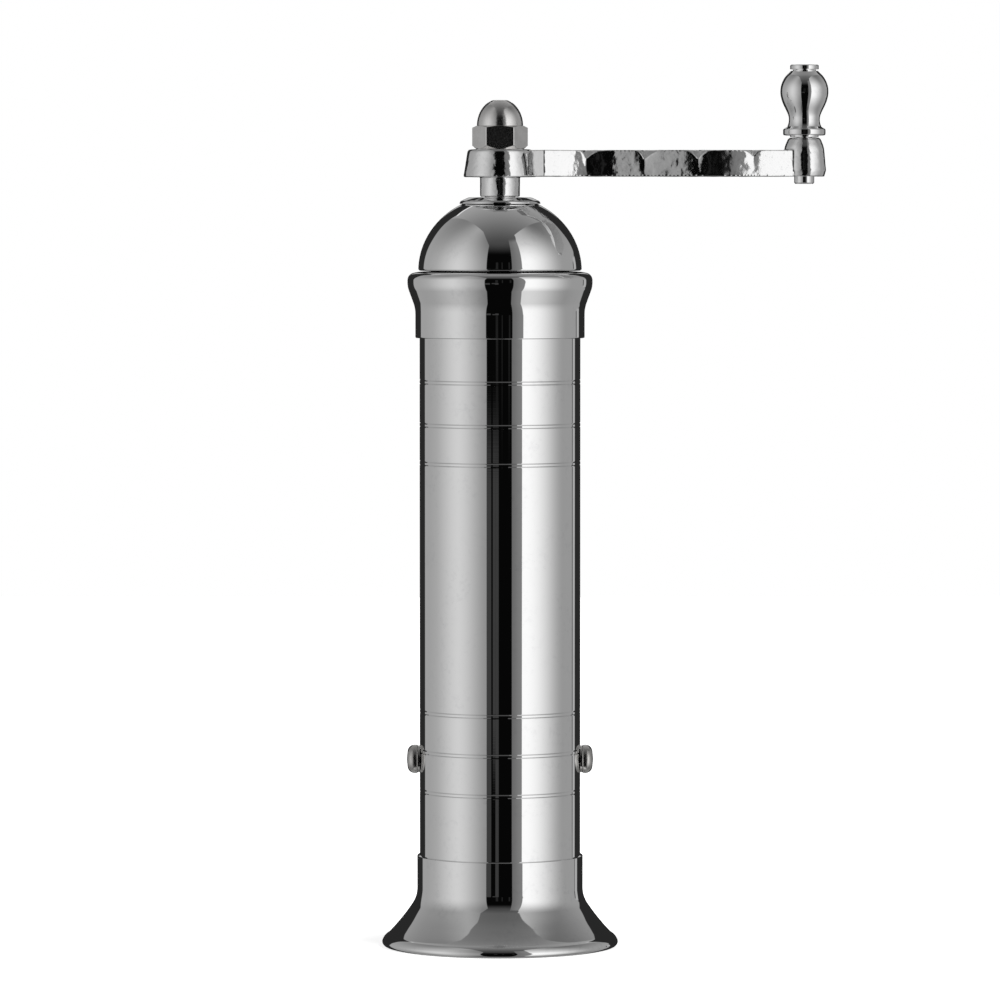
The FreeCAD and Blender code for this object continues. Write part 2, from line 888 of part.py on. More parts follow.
def toothed_cone(teeth, levels, lead):
    """A twisted cone with saw teeth: levels hold height, tip radius, root radius and twist.

    The lead is the tip's place within each tooth, as a share of the tooth.
    """
    rows = []
    for height, tip_r, root_r, twist in levels:
        row = []
        for i in range(teeth):
            for share, radius in ((0.0, root_r), (lead, tip_r)):
                angle = math.radians(FULL_TURN * (i + share) / teeth + twist)
                row.append(Vector(radius * math.cos(angle), radius * math.sin(angle), height))
        rows.append(row)
    faces = [
        Part.Face(Part.makePolygon(rows[0] + rows[0][:1])),
        Part.Face(Part.makePolygon(rows[-1] + rows[-1][:1])),
    ]
    count = 2 * teeth
    for low, high in zip(rows, rows[1:]):
        for i in range(count):
            j = (i + 1) % count
            faces.append(Part.Face(Part.makePolygon([low[i], low[j], high[j], low[i]])))
            faces.append(Part.Face(Part.makePolygon([low[i], high[j], high[i], low[i]])))
    solid = Part.Solid(Part.Shell(faces))
    if solid.Volume < 0:
        solid.reverse()
    return solid


def fine_tip_radius(height):
    """The inner burr's tip radius along its fine teeth, carried on past their ends."""
    fall = (inner_burr_base_r - inner_burr_middle_d / 2) / inner_fine_height
    return inner_burr_base_r - fall * (height - inner_burr_bottom)


def make_inner_burr():
    fine = toothed_cone(
        inner_teeth,
        [
            (inner_burr_bottom, inner_burr_base_r, inner_burr_base_r - inner_tooth_depth, 0),
            (
                inner_burr_middle,
                inner_burr_middle_d / 2,
                inner_burr_middle_d / 2 - inner_tooth_depth,
                fine_twist,
            ),
        ],
        inner_tooth_lead,
    )
    coarse = toothed_cone(
        inner_breakers,
        [
            (
                inner_burr_middle,
                inner_burr_middle_d / 2 - inner_tooth_depth,
                inner_burr_middle_d / 2 - inner_breaker_depth,
                0,
            ),
            (
                inner_burr_top,
                inner_burr_top_d / 2,
                inner_burr_top_d / 2 - inner_breaker_depth / 2,
                coarse_twist,
            ),
        ],
        inner_tooth_lead,
    )
    half = shaft_square / 2 + square_clearance
    hole_bottom = inner_burr_top - square_hole_depth
    hole = block(-half, half, -half, half, hole_bottom, inner_burr_top + OVERSHOOT)
    seat_r = ball_d / 2 + sliding_clearance
    seat = cylinder(seat_r, inner_burr_bottom - OVERSHOOT, ball_top + ball_clearance)
    return fine.fuse(coarse).cut(hole).cut(seat)


def make_outer_burr():
    bottom = ledge_top
    top = ledge_top + outer_burr_height
    gap = outer_burr_gap
    low = bottom - OVERSHOOT
    high = top + OVERSHOOT
    fine = toothed_cone(
        outer_teeth,
        [
            (low, fine_tip_radius(low) + gap + outer_tooth_depth, fine_tip_radius(low) + gap, 0),
            (
                inner_burr_middle,
                inner_burr_middle_d / 2 + gap + outer_tooth_depth,
                inner_burr_middle_d / 2 + gap,
                -fine_twist,
            ),
        ],
        outer_tooth_lead,
    )
    rise = (outer_mouth_d - outer_throat_d) / 2 / (top - inner_burr_middle)
    over = rise * OVERSHOOT
    coarse = toothed_cone(
        outer_breakers,
        [
            (
                inner_burr_middle - burr_overlap,
                outer_throat_d / 2 + outer_throat_depth,
                outer_throat_d / 2,
                0,
            ),
            (
                high,
                outer_mouth_d / 2 + outer_mouth_depth + over,
                outer_mouth_d / 2 + over,
                -coarse_twist,
            ),
        ],
        outer_breaker_lead,
    )
    blank = cylinder(pocket_r - running_clearance, bottom, top)
    burr = blank.cut(fine).cut(coarse)
    dog_r = side_screw_dog_d / 2 + running_clearance
    for side in (-1, 1):
        dimple = Part.makeCylinder(
            dog_r,
            side_screw_dog_length + OVERSHOOT,
            Vector(side * (pocket_r + OVERSHOOT), 0, side_screw_height),
            RIGHT * -side,
        )
        burr = burr.cut(dimple)
    return burr


def bar_screw_places():
    return [Vector(0, side * bar_screw_r, 0) for side in (-1, 1)]


def bar_screw_holes(bottom, top, radius):
    holes = []
    for place in bar_screw_places():
        holes.append(Part.makeCylinder(radius, top - bottom, place + UP * bottom, UP))
    return holes


def make_burr_housing():
    section = run(
        (housing_outlet_d / 2, housing_base_height),
        (housing_r, housing_base_height),
        (housing_r, housing_top),
        (pocket_r, housing_top),
        (pocket_r, ledge_top),
        (housing_outlet_d / 2, ledge_top),
    )
    body = turned(
        section,
        (housing_outlet_d / 2, housing_base_height),
        (housing_outlet_d / 2, ledge_top),
    )
    thread_r = bar_screw_d / 2 + thread_clearance
    reach = bar_screw_reach + thread_clearance
    low = bar_screw_holes(housing_base_height - OVERSHOOT, housing_base_height + reach, thread_r)
    high = bar_screw_holes(housing_top - reach, housing_top + OVERSHOOT, thread_r)
    side_r = side_screw_d / 2 + thread_clearance
    span = housing_r + OVERSHOOT
    side = Part.makeCylinder(side_r, 2 * span, Vector(-span, 0, side_screw_height), RIGHT)
    return body.cut(low + high + [side])


def bridge(width, bottom, top, boss_r, boss_bottom, boss_top, bore_radius):
    """A bar across the housing with round ends, a bored boss and two screw holes."""
    half = width / 2
    bar = block(-half, half, -housing_r, housing_r, bottom, top)
    bar = bar.common(cylinder(housing_r, bottom, top))
    body = bar.fuse(cylinder(boss_r, boss_bottom, boss_top))
    body = body.cut(cylinder(bore_radius, boss_bottom - OVERSHOOT, boss_top + OVERSHOOT))
    hole_r = bar_screw_d / 2 + screw_hole_clearance
    return body.cut(bar_screw_holes(bottom - OVERSHOOT, top + OVERSHOOT, hole_r))


def make_shaft_guide():
    return bridge(
        guide_width,
        housing_top,
        housing_top + guide_thickness,
        guide_boss_d / 2,
        housing_top,
        housing_top + guide_boss_height,
        shaft_bore_r + running_clearance / 2,
    )


def make_lower_bridge():
    return bridge(
        bridge_width,
        bridge_bottom,
        housing_base_height,
        bridge_boss_d / 2,
        bridge_boss_bottom,
        housing_base_height,
        adjuster_d / 2,
    )


def bar_screw(bar_thickness):
    """A small slotted screw whose head sits on Z = 0 and whose shank points down."""
    head_r = bar_screw_head_d / 2
    length = bar_thickness + bar_screw_reach
    solid = turned(
        run(
            (0, -length),
            (bar_screw_d / 2, -length),
            (bar_screw_d / 2, 0),
            (head_r, 0),
            (head_r, bar_screw_head_height, bar_screw_head_round),
            (0, bar_screw_head_height),
        ),
        (0, -length),
        (0, bar_screw_head_height),
    )
    half = bar_screw_slot_width / 2
    floor = bar_screw_head_height - bar_screw_slot_depth
    slot = block(-head_r, head_r, -half, half, floor, bar_screw_head_height + OVERSHOOT)
    return solid.cut(slot)


def make_guide_screws():
    screws = []
    for place in bar_screw_places():
        screw = bar_screw(guide_thickness)
        screw.translate(place + UP * (housing_top + guide_thickness))
        screws.append(screw)
    return Part.makeCompound(screws)


def make_bridge_screws():
    screws = []
    for place in bar_screw_places():
        screw = bar_screw(bridge_thickness)
        screw.rotate(ORIGIN, RIGHT, 180)
        screw.translate(place + UP * bridge_bottom)
        screws.append(screw)
    return Part.makeCompound(screws)


def make_spring_seat():
    bottom = inner_burr_top
    return ring(spring_seat_d / 2, spring_seat_bore / 2, bottom, spring_bottom)


def biarc(start, start_direction, end, end_direction):
    """Two arcs in space that join smoothly and keep both end directions."""
    span = end - start
    both = start_direction + end_direction
    a = 2 * (1 - start_direction.dot(end_direction))
    b = span.dot(both)
    c = span.dot(span)
    reach = (-b + math.sqrt(b * b + a * c)) / a
    first_corner = start + start_direction * reach
    second_corner = end - end_direction * reach
    joint = (first_corner + second_corner) / 2
    arcs = []
    for one, corner, other in ((start, first_corner, joint), (joint, second_corner, end)):
        chord_middle = (one + other) / 2
        half_chord = one.distanceToPoint(other) / 2
        outward = corner - chord_middle
        radius = half_chord * reach / outward.Length
        rise = radius - math.sqrt(radius**2 - half_chord**2)
        crest = chord_middle + outward.normalize() * rise
        arcs.append(Part.Arc(one, crest, other).toShape())
    return arcs


def make_burr_spring():
    """A cylindrical coil of round wire between the spring seat and the shaft guide."""
    coil_r = spring_mean_d / 2
    wire_r = spring_wire_d / 2
    bottom = spring_bottom + spring_end_gap + wire_r
    top = housing_top - spring_end_gap - wire_r
    steps = int(round(spring_turns * 4))
    rise = (top - bottom) / steps
    quarter = math.pi / 2

    def place(i):
        angle = i * quarter
        return Vector(coil_r * math.cos(angle), coil_r * math.sin(angle), bottom + i * rise)

    def direction(i):
        angle = i * quarter
        return Vector(
            -coil_r * math.sin(angle), coil_r * math.cos(angle), rise / quarter
        ).normalize()

    path = []
    for i in range(steps):
        path += biarc(place(i), direction(i), place(i + 1), direction(i + 1))
    wire = Part.Wire(path)
    section = Part.Wire(Part.makeCircle(wire_r, place(0), direction(0)))
    coil = wire.makePipeShell([section], True, False)
    least = 4 * rise * math.cos(math.atan2(rise, quarter * coil_r)) - spring_wire_d
    samples = 200
    apart = samples // 8
    points = wire.discretize(samples)
    for i, one in enumerate(points):
        for other in points[i + apart:]:
            least = min(least, one.distanceToPoint(other) - spring_wire_d)
    print("least gap between the spring's turns", round(least, 3))
    length = wire.Length
    print("spring volume over section times length", coil.Volume / (math.pi * wire_r**2 * length))
    return coil


# Thrust and adjustment


def make_thrust_ball():
    return Part.makeSphere(ball_d / 2, Vector(0, 0, ball_middle))


def make_adjusting_screw():
    shank_r = adjuster_d / 2 - running_clearance
    head_r = adjuster_head_d / 2
    cup_r = ball_d / 2 + sliding_clearance
    chamfer = adjuster_head_chamfer
    solid = turned(
        run(
            (0, adjuster_head_bottom),
            (head_r - chamfer, adjuster_head_bottom),
            (head_r, adjuster_head_bottom + chamfer),
            (head_r, adjuster_head_top - chamfer / 2),
            (head_r - chamfer / 2, adjuster_head_top),
            (shank_r, adjuster_head_top),
            (shank_r, adjuster_tip),
            (cup_r, adjuster_tip),
            (cup_r, adjuster_cup_floor),
            (0, adjuster_cup_floor),
        ),
        (0, adjuster_head_bottom),
        (0, adjuster_cup_floor),
    )
    flute_r = adjuster_flute_d / 2
    flute_at = head_r + flute_r - adjuster_flute_bite
    flutes = []
    for i in range(adjuster_flutes):
        angle = 2 * math.pi * i / adjuster_flutes
        centre = Vector(flute_at * math.cos(angle), flute_at * math.sin(angle), 0)
        flutes.append(
            Part.makeCylinder(
                flute_r,
                adjuster_head_height + 2 * OVERSHOOT,
                centre + UP * (adjuster_head_bottom - OVERSHOOT),
                UP,
            )
        )
    return solid.cut(flutes)


# Side screws


def to_sides(shape):
    """The shape made along +Z is laid along +X and -X at the side screws' height."""
    copies = []
    for angle in (90, -90):
        copy = shape.copy()
        copy.rotate(ORIGIN, AWAY, angle)
        copy.translate(UP * side_screw_height)
        copies.append(copy)
    return Part.makeCompound(copies)


def make_screw_washers():
    hole_r = side_screw_d / 2 + screw_hole_clearance
    return to_sides(ring(side_washer_d / 2, hole_r, tube_r, tube_r + side_washer_thickness))


def make_housing_screws():
    seat = tube_r + side_washer_thickness
    face = seat + side_screw_head_height
    dog_start = pocket_r + dog_shoulder_clearance
    dog_end = pocket_r - side_screw_dog_length + dog_end_clearance
    head_r = side_screw_head_d / 2
    screw = turned(
        run(
            (0, dog_end),
            (side_screw_dog_d / 2, dog_end),
            (side_screw_dog_d / 2, dog_start),
            (side_screw_d / 2, dog_start),
            (side_screw_d / 2, seat),
            (head_r, seat, side_screw_under_round),
            (head_r, face - side_screw_dome, side_screw_head_round),
            (0, face),
        ),
        (0, dog_end),
        (0, face),
    )
    half = side_screw_slot_width / 2
    floor = face - side_screw_slot_depth
    slot = block(-half, half, -head_r, head_r, floor, face + OVERSHOOT)
    return to_sides(screw.cut(slot))


def main():
    os.makedirs("parts", exist_ok=True)
    save("body_tube", make_body_tube())
    save("foot", make_foot())
    save("collar", make_collar())
    save("dome", make_dome())
    save("top_bush", make_top_bush())
    save("bush_nut", make_bush_nut())
    save("drive_shaft", make_drive_shaft())
    save("thrust_washer", make_thrust_washer())
    save("retaining_ring", make_retaining_ring())
    save("crank_arm", make_crank_arm())
    save("cap_nut", make_cap_nut())
    save("knob", make_knob())
    save("knob_pin", make_knob_pin())
    save("burr_housing", make_burr_housing())
    save("outer_burr", make_outer_burr())
    save("inner_burr", make_inner_burr())
    save("shaft_guide", make_shaft_guide())
    save("guide_screws", make_guide_screws())
    save("spring_seat", make_spring_seat())
    save("burr_spring", make_burr_spring())
    save("thrust_ball", make_thrust_ball())
    save("adjusting_screw", make_adjusting_screw())
    save("lower_bridge", make_lower_bridge())
    save("bridge_screws", make_bridge_screws())
    save("housing_screws", make_housing_screws())
    save("screw_washers", make_screw_washers())


main()
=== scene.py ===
import json
import math

import bpy
import numpy as np
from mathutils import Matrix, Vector, noise


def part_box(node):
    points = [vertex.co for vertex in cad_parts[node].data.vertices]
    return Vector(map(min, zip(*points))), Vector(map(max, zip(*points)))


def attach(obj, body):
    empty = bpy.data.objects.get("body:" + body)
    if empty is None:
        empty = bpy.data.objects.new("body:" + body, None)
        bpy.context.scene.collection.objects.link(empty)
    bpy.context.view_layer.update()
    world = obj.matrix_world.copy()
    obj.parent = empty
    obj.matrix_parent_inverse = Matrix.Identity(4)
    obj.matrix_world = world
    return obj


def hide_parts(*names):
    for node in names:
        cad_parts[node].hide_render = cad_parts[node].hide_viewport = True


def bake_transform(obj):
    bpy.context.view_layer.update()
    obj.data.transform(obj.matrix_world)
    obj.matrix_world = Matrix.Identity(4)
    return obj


# The looks of a hand cranked salt mill: turned and polished metal, a rough cast crank and a white studio.
# Sizes are in millimetres and are turned into metres by MM where a mesh is made.

MM = 0.001
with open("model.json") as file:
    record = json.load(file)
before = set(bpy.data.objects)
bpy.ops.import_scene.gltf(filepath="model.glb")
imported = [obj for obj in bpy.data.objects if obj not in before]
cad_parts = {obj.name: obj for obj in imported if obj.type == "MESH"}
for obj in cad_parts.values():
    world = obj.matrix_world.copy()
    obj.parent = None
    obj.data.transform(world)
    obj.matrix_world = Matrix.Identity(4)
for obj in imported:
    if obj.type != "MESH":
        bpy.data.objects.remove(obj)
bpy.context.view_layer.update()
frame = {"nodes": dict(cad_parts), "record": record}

# Steps round a turned piece, and the angle below which two faces look smooth together
ROUND = 256
SMALL_ROUND = 128
SHARP_ANGLE = math.radians(24)
ARC_STEP = math.radians(5)
JOIN = 1e-5


def span(node):
    """A node's lowest and highest corner in millimetres."""
    low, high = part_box(node)
    return low / MM, high / MM


# Outlines


def outline(*points):
    """Points in (radius, height), where a third number rounds that corner by that radius."""
    places = [np.array(point[:2], float) for point in points]
    made = [places[0]]
    for i in range(1, len(points) - 1):
        corner = places[i]
        if len(points[i]) < 3:
            made.append(corner)
            continue
        before = places[i - 1] - corner
        after = places[i + 1] - corner
        before /= np.linalg.norm(before)
        after /= np.linalg.norm(after)
        half = math.acos(float(np.clip(before @ after, -1, 1))) / 2
        radius = points[i][2]
        middle = before + after
        middle /= np.linalg.norm(middle)
        centre = corner + middle * (radius / math.sin(half))
        begin = corner + before * (radius / math.tan(half)) - centre
        end = corner + after * (radius / math.tan(half)) - centre
        sweep = math.pi - 2 * half
        steps = max(3, math.ceil(sweep / ARC_STEP))
        for k in range(steps + 1):
            share = k / steps
            low = math.sin((1 - share) * sweep) / math.sin(sweep)
            high = math.sin(share * sweep) / math.sin(sweep)
            made.append(centre + begin * low + end * high)
    made.append(places[-1])
    return [tuple(place) for place in made]


def oval(half_width, half_height, base, start, end, steps=48):
    """Points on an ellipse's side between two angles above its base, in degrees."""
    angles = np.radians(np.linspace(start, end, steps + 1))
    return [(half_width * math.cos(a), base + half_height * math.sin(a)) for a in angles]


def smooth_run(points, slopes, steps=14):
    """A smooth run through (radius, height) points; a slope is radius per height at its point."""
    made = []
    for i in range(len(points) - 1):
        (r0, z0), (r1, z1) = points[i], points[i + 1]
        rise = z1 - z0
        for k in range(steps):
            t = k / steps
            radius = (
                (2 * t**3 - 3 * t**2 + 1) * r0
                + (t**3 - 2 * t**2 + t) * rise * slopes[i]
                + (3 * t**2 - 2 * t**3) * r1
                + (t**3 - t**2) * rise * slopes[i + 1]
            )
            made.append((radius, z0 + rise * t))
    return made + [points[-1]]


# Meshes


def finish_mesh(name, mesh, weigh=True):
    """An object with smooth faces and sharp corners for a mesh."""
    mesh.validate()
    mesh.update()
    mesh.shade_smooth()
    mesh.set_sharp_from_angle(angle=SHARP_ANGLE)
    piece = bpy.data.objects.new(name, mesh)
    bpy.context.scene.collection.objects.link(piece)
    if weigh:
        weights = piece.modifiers.new("weights", "WEIGHTED_NORMAL")
        weights.keep_sharp = True
    return piece


def turned_mesh(name, points, around=ROUND):
    """A closed mesh turned about Z from a closed outline of (radius, height) points."""
    kept = []
    for point in points:
        if not kept or math.dist(kept[-1], point) > JOIN:
            kept.append(point)
    if math.dist(kept[0], kept[-1]) < JOIN:
        kept.pop()
    area = sum(a[0] * b[1] - b[0] * a[1] for a, b in zip(kept, kept[1:] + kept[:1]))
    if area < 0:
        kept.reverse()
    angles = [2 * math.pi * i / around for i in range(around)]
    spots = []
    rows = []
    for radius, height in kept:
        if radius < JOIN:
            rows.append([len(spots)] * around)
            spots.append((0, 0, height * MM))
        else:
            rows.append(list(range(len(spots), len(spots) + around)))
            for a in angles:
                spots.append((radius * math.cos(a) * MM, radius * math.sin(a) * MM, height * MM))
    faces = []
    for low, high in zip(rows, rows[1:] + rows[:1]):
        for i in range(around):
            j = (i + 1) % around
            loop = [low[i], low[j], high[j], high[i]]
            distinct = [v for k, v in enumerate(loop) if v != loop[k - 1]]
            if len(set(distinct)) > 2:
                faces.append(distinct)
    mesh = bpy.data.meshes.new(name)
    mesh.from_pydata(spots, [], faces)
    return mesh


def turned(name, points, around=ROUND):
    return finish_mesh(name, turned_mesh(name, points, around))


def prism(name, corners, bottom, top):
    """An upright prism over (x, y) corners given counter-clockwise."""
    count = len(corners)
    spots = [(x * MM, y * MM, z * MM) for z in (bottom, top) for x, y in corners]
    faces = [list(range(count))[::-1], list(range(count, 2 * count))]
    for i in range(count):
        j = (i + 1) % count
        faces.append([i, j, count + j, count + i])
    mesh = bpy.data.meshes.new(name)
    mesh.from_pydata(spots, [], faces)
    piece = bpy.data.objects.new(name, mesh)
    bpy.context.scene.collection.objects.link(piece)
    return piece


def box_corners(half_x, half_y):
    return [(-half_x, -half_y), (half_x, -half_y), (half_x, half_y), (-half_x, half_y)]


def hex_corners(across, edge_round):
    """A hexagon's corners, each as a small arc."""
    middle = (across - 2 * edge_round) / math.sqrt(3)
    spots = []
    for i in range(6):
        for k in range(7):
            turn = math.radians(60 * i - 30 + 10 * k)
            x = middle * math.cos(math.radians(60 * i)) + edge_round * math.cos(turn)
            y = middle * math.sin(math.radians(60 * i)) + edge_round * math.sin(turn)
            spots.append((x, y))
    return spots


def bake(piece):
    """The piece's modifiers become its mesh."""
    evaluated = piece.evaluated_get(bpy.context.evaluated_depsgraph_get())
    mesh = bpy.data.meshes.new_from_object(evaluated)
    piece.modifiers.clear()
    piece.data = mesh
    return piece


def carve(piece, tool, operation="DIFFERENCE"):
    """Cuts the tool from the piece, or keeps what they share, and removes the tool."""
    piece.modifiers.clear()
    cut = piece.modifiers.new("cut", "BOOLEAN")
    cut.operation = operation
    cut.solver = "EXACT"
    cut.object = tool
    bake(piece)
    bpy.data.objects.remove(tool)
    piece.data.shade_smooth()
    piece.data.set_sharp_from_angle(angle=SHARP_ANGLE)
    return piece


def joined(name, meshes):
    """One object with the faces of several meshes."""
    spots = []
    faces = []
    for mesh in meshes:
        start = len(spots)
        spots += [tuple(v.co) for v in mesh.vertices]
        faces += [[start + v for v in face.vertices] for face in mesh.polygons]
    whole = bpy.data.meshes.new(name)
    whole.from_pydata(spots, [], faces)
    return whole


# Materials


class Nodes:
    """Short calls that add shader nodes to a tree and join them."""

    def __init__(self, tree):
        self.tree = tree
        tree.nodes.clear()

    def add(self, kind, **inputs):
        node = self.tree.nodes.new("ShaderNode" + kind)
        for name, value in inputs.items():
            self.put(node.inputs[name.replace("_", " ")], value)
        return node

    def put(self, socket, value):
        if isinstance(value, bpy.types.NodeSocket):
            self.tree.links.new(value, socket)
        else:
            socket.default_value = value

    def math(self, operation, first, second=0.0, third=None):
        node = self.tree.nodes.new("ShaderNodeMath")
        node.operation = operation
        self.put(node.inputs[0], first)
        self.put(node.inputs[1], second)
        if third is not None:
            self.put(node.inputs[2], third)
        return node.outputs[0]

    def times(self, first, *others):
        for other in others:
            first = self.math("MULTIPLY", first, other)
        return first

    def step(self, value, start, end, low=0.0, high=1.0):
        """A smooth step of the value from low at start to high at end."""
        node = self.tree.nodes.new("ShaderNodeMapRange")
        node.interpolation_type = "SMOOTHSTEP"
        node.clamp = True
        self.put(node.inputs["Value"], value)
        self.put(node.inputs["From Min"], start)
        self.put(node.inputs["From Max"], end)
        self.put(node.inputs["To Min"], low)
        self.put(node.inputs["To Max"], high)
        return node.outputs["Result"]

    def window(self, value, start, end, soft):
        """1 between start and end, 0 outside, with soft edges."""
        half = soft / 2
        up = self.step(value, start - half, start + half)
        down = self.step(value, end - half, end + half, 1.0, 0.0)
        return self.math("MULTIPLY", up, down)

    def blend(self, share, first, second):
        node = self.tree.nodes.new("ShaderNodeMix")
        node.data_type = "FLOAT"
        self.put(node.inputs[0], share)
        self.put(node.inputs[2], first)
        self.put(node.inputs[3], second)
        return node.outputs[0]

    def colour(self, share, first, second):
        node = self.tree.nodes.new("ShaderNodeMix")
        node.data_type = "RGBA"
        self.put(node.inputs[0], share)
        self.put(node.inputs[6], (*first, 1))
        self.put(node.inputs[7], (*second, 1))
        return node.outputs[2]

    def noise(self, place, wave, detail=2.0, roughness=0.5):
        """Noise whose lumps are about wave millimetres across."""
        node = self.add("TexNoise", Vector=place, Scale=1 / (wave * MM), Detail=detail, Roughness=roughness)
        return node.outputs["Fac"]

    def bump(self, height, distance, strength=1.0, normal=None):
        node = self.add("Bump", Height=height, Distance=distance * MM, Strength=strength)
        if normal is not None:
            self.put(node.inputs["Normal"], normal)
        return node.outputs["Normal"]


def new_material(name):
    material = bpy.data.materials.new(name)
    material.use_nodes = True
    nodes = Nodes(material.node_tree)
    place = nodes.add("TexCoord").outputs["Object"]
    return material, nodes, place


def close_material(nodes, shader):
    output = nodes.add("OutputMaterial")
    nodes.put(output.inputs["Surface"], shader.outputs[0])


def lathe_lines(nodes, place, pitch):
    """Fine rings round a turned piece: noise that changes with height and radius only."""
    parts = nodes.add("SeparateXYZ", Vector=place)
    flat = nodes.add("CombineXYZ", X=parts.outputs["X"], Y=parts.outputs["Y"])
    reach = nodes.add("VectorMath")
    reach.operation = "LENGTH"
    nodes.put(reach.inputs[0], flat.outputs[0])
    rings = nodes.add("CombineXYZ", X=reach.outputs["Value"], Z=parts.outputs["Z"])
    return nodes.noise(rings.outputs[0], pitch, detail=1.0)


def polished_metal(name, pale, dark, gloss, wave_depth, ring_depth):
    """Mirror bright metal with faint haze, slow waves left by polishing and fine lathe rings."""
    material, nodes, place = new_material(name)
    clouds = nodes.noise(place, 9, detail=3.0)
    haze = nodes.noise(place, 1.4, detail=4.0)
    rings = lathe_lines(nodes, place, 0.35)
    waves = nodes.noise(place, 14, detail=1.0)
    smear = nodes.math("MULTIPLY", nodes.step(haze, 0.45, 0.75), nodes.step(clouds, 0.4, 0.7))
    colour = nodes.colour(smear, pale, dark)
    rough = nodes.math("MULTIPLY_ADD", smear, gloss[1] - gloss[0], gloss[0])
    normal = nodes.bump(waves, wave_depth)
    normal = nodes.bump(rings, ring_depth, normal=normal)
    shader = nodes.add("BsdfPrincipled", Base_Color=colour, Roughness=rough, Normal=normal)
    shader.inputs["Metallic"].default_value = 1.0
    close_material(nodes, shader)
    return material


def cast_metal(name):
    """Plated casting: small dimples and grains break up its reflections."""
    material, nodes, place = new_material(name)
    grain = nodes.noise(place, 0.55, detail=3.0, roughness=0.6)
    dimples = nodes.noise(place, 1.3, detail=2.0)
    clouds = nodes.noise(place, 5, detail=2.0)
    pits = nodes.step(grain, 0.58, 0.74)
    colour = nodes.colour(pits, (0.91, 0.91, 0.91), (0.76, 0.76, 0.77))
    rough = nodes.step(clouds, 0.3, 0.7, 0.05, 0.11)
    normal = nodes.bump(dimples, 0.016)
    normal = nodes.bump(grain, 0.012, normal=normal)
    shader = nodes.add("BsdfPrincipled", Base_Color=colour, Roughness=rough, Normal=normal)
    shader.inputs["Metallic"].default_value = 1.0
    close_material(nodes, shader)
    return material


def satin_metal(name, pale, dark, rough_low, rough_high, grain_depth):
    """Satin metal with a fine even grain."""
    material, nodes, place = new_material(name)
    grain = nodes.noise(place, 0.22, detail=2.0)
    clouds = nodes.noise(place, 3, detail=3.0)
    colour = nodes.colour(nodes.step(clouds, 0.35, 0.7), pale, dark)
    rough = nodes.step(grain, 0.3, 0.7, rough_low, rough_high)
    normal = nodes.bump(grain, grain_depth)
    shader = nodes.add("BsdfPrincipled", Base_Color=colour, Roughness=rough, Normal=normal)
    shader.inputs["Metallic"].default_value = 1.0
    close_material(nodes, shader)
    return material


def moulded_plastic(name):
    """Dark moulded plastic with a fine matt texture."""
    material, nodes, place = new_material(name)
    grain = nodes.noise(place, 0.3, detail=2.0)
    clouds = nodes.noise(place, 6, detail=2.0)
    colour = nodes.colour(clouds, (0.022, 0.022, 0.024), (0.05, 0.05, 0.052))
    rough = nodes.step(clouds, 0.3, 0.7, 0.42, 0.6)
    normal = nodes.bump(grain, 0.02)
    shader = nodes.add("BsdfPrincipled", Base_Color=colour, Roughness=rough, Normal=normal)
    close_material(nodes, shader)
    return material


def fired_ceramic(name):
    """White fired ceramic: faint mottling and a dull, slightly uneven skin."""
    material, nodes, place = new_material(name)
    mottle = nodes.noise(place, 1.8, detail=4.0)
    grain = nodes.noise(place, 0.25, detail=2.0)
    colour = nodes.colour(nodes.step(mottle, 0.35, 0.7), (0.80, 0.79, 0.75), (0.70, 0.68, 0.63))
    rough = nodes.step(mottle, 0.3, 0.7, 0.35, 0.5)
    normal = nodes.bump(grain, 0.012)
    shader = nodes.add("BsdfPrincipled", Base_Color=colour, Roughness=rough, Normal=normal)
    close_material(nodes, shader)
    return material


BRIGHT = (0.93, 0.93, 0.93)
HAZED = (0.86, 0.86, 0.865)
chrome = polished_metal("polished chrome", BRIGHT, HAZED, (0.018, 0.05), 0.006, 0.0006)
turned_chrome = polished_metal("turned chrome", BRIGHT, HAZED, (0.03, 0.08), 0.004, 0.0016)
cast_chrome = cast_metal("cast chrome")
satin_nickel = satin_metal("satin nickel", (0.88, 0.87, 0.86), (0.80, 0.79, 0.78), 0.14, 0.22, 0.003)
screw_metal = satin_metal("plated screw", (0.72, 0.71, 0.69), (0.55, 0.54, 0.52), 0.14, 0.3, 0.008)
brass = satin_metal("plain brass", (0.83, 0.62, 0.28), (0.70, 0.50, 0.22), 0.2, 0.34, 0.006)
stainless = satin_metal("stainless steel", (0.62, 0.61, 0.60), (0.50, 0.495, 0.49), 0.2, 0.32, 0.005)
spring_steel = satin_metal("spring steel", (0.50, 0.50, 0.51), (0.36, 0.36, 0.37), 0.2, 0.3, 0.004)
plastic = moulded_plastic("housing plastic")
ceramic = fired_ceramic("burr ceramic")

MATERIALS = {
    "chrome": chrome,
    "chrome_trim": turned_chrome,
    "cast_chrome": cast_chrome,
    "turned_chrome": turned_chrome,
    "satin_nickel": satin_nickel,
    "screw_chrome": screw_metal,
    "plain_brass": brass,
    "stainless_steel": stainless,
    "spring_steel": spring_steel,
    "housing_plastic": plastic,
    "burr_ceramic": ceramic,
}


def node_slots():
    """The material slot of each CAD node, from the record."""
    return {part["node"]: part["material_slot"] for part in frame["record"]["subparts"]}


def dress(piece, node, body):
    """The piece takes the node's place, its body and its finish."""
    slot = SLOTS[node]
    piece.data.materials.clear()
    piece.data.materials.append(MATERIALS[slot])
    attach(piece, body)
    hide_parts(node)
    return piece


SLOTS = node_slots()

# Body

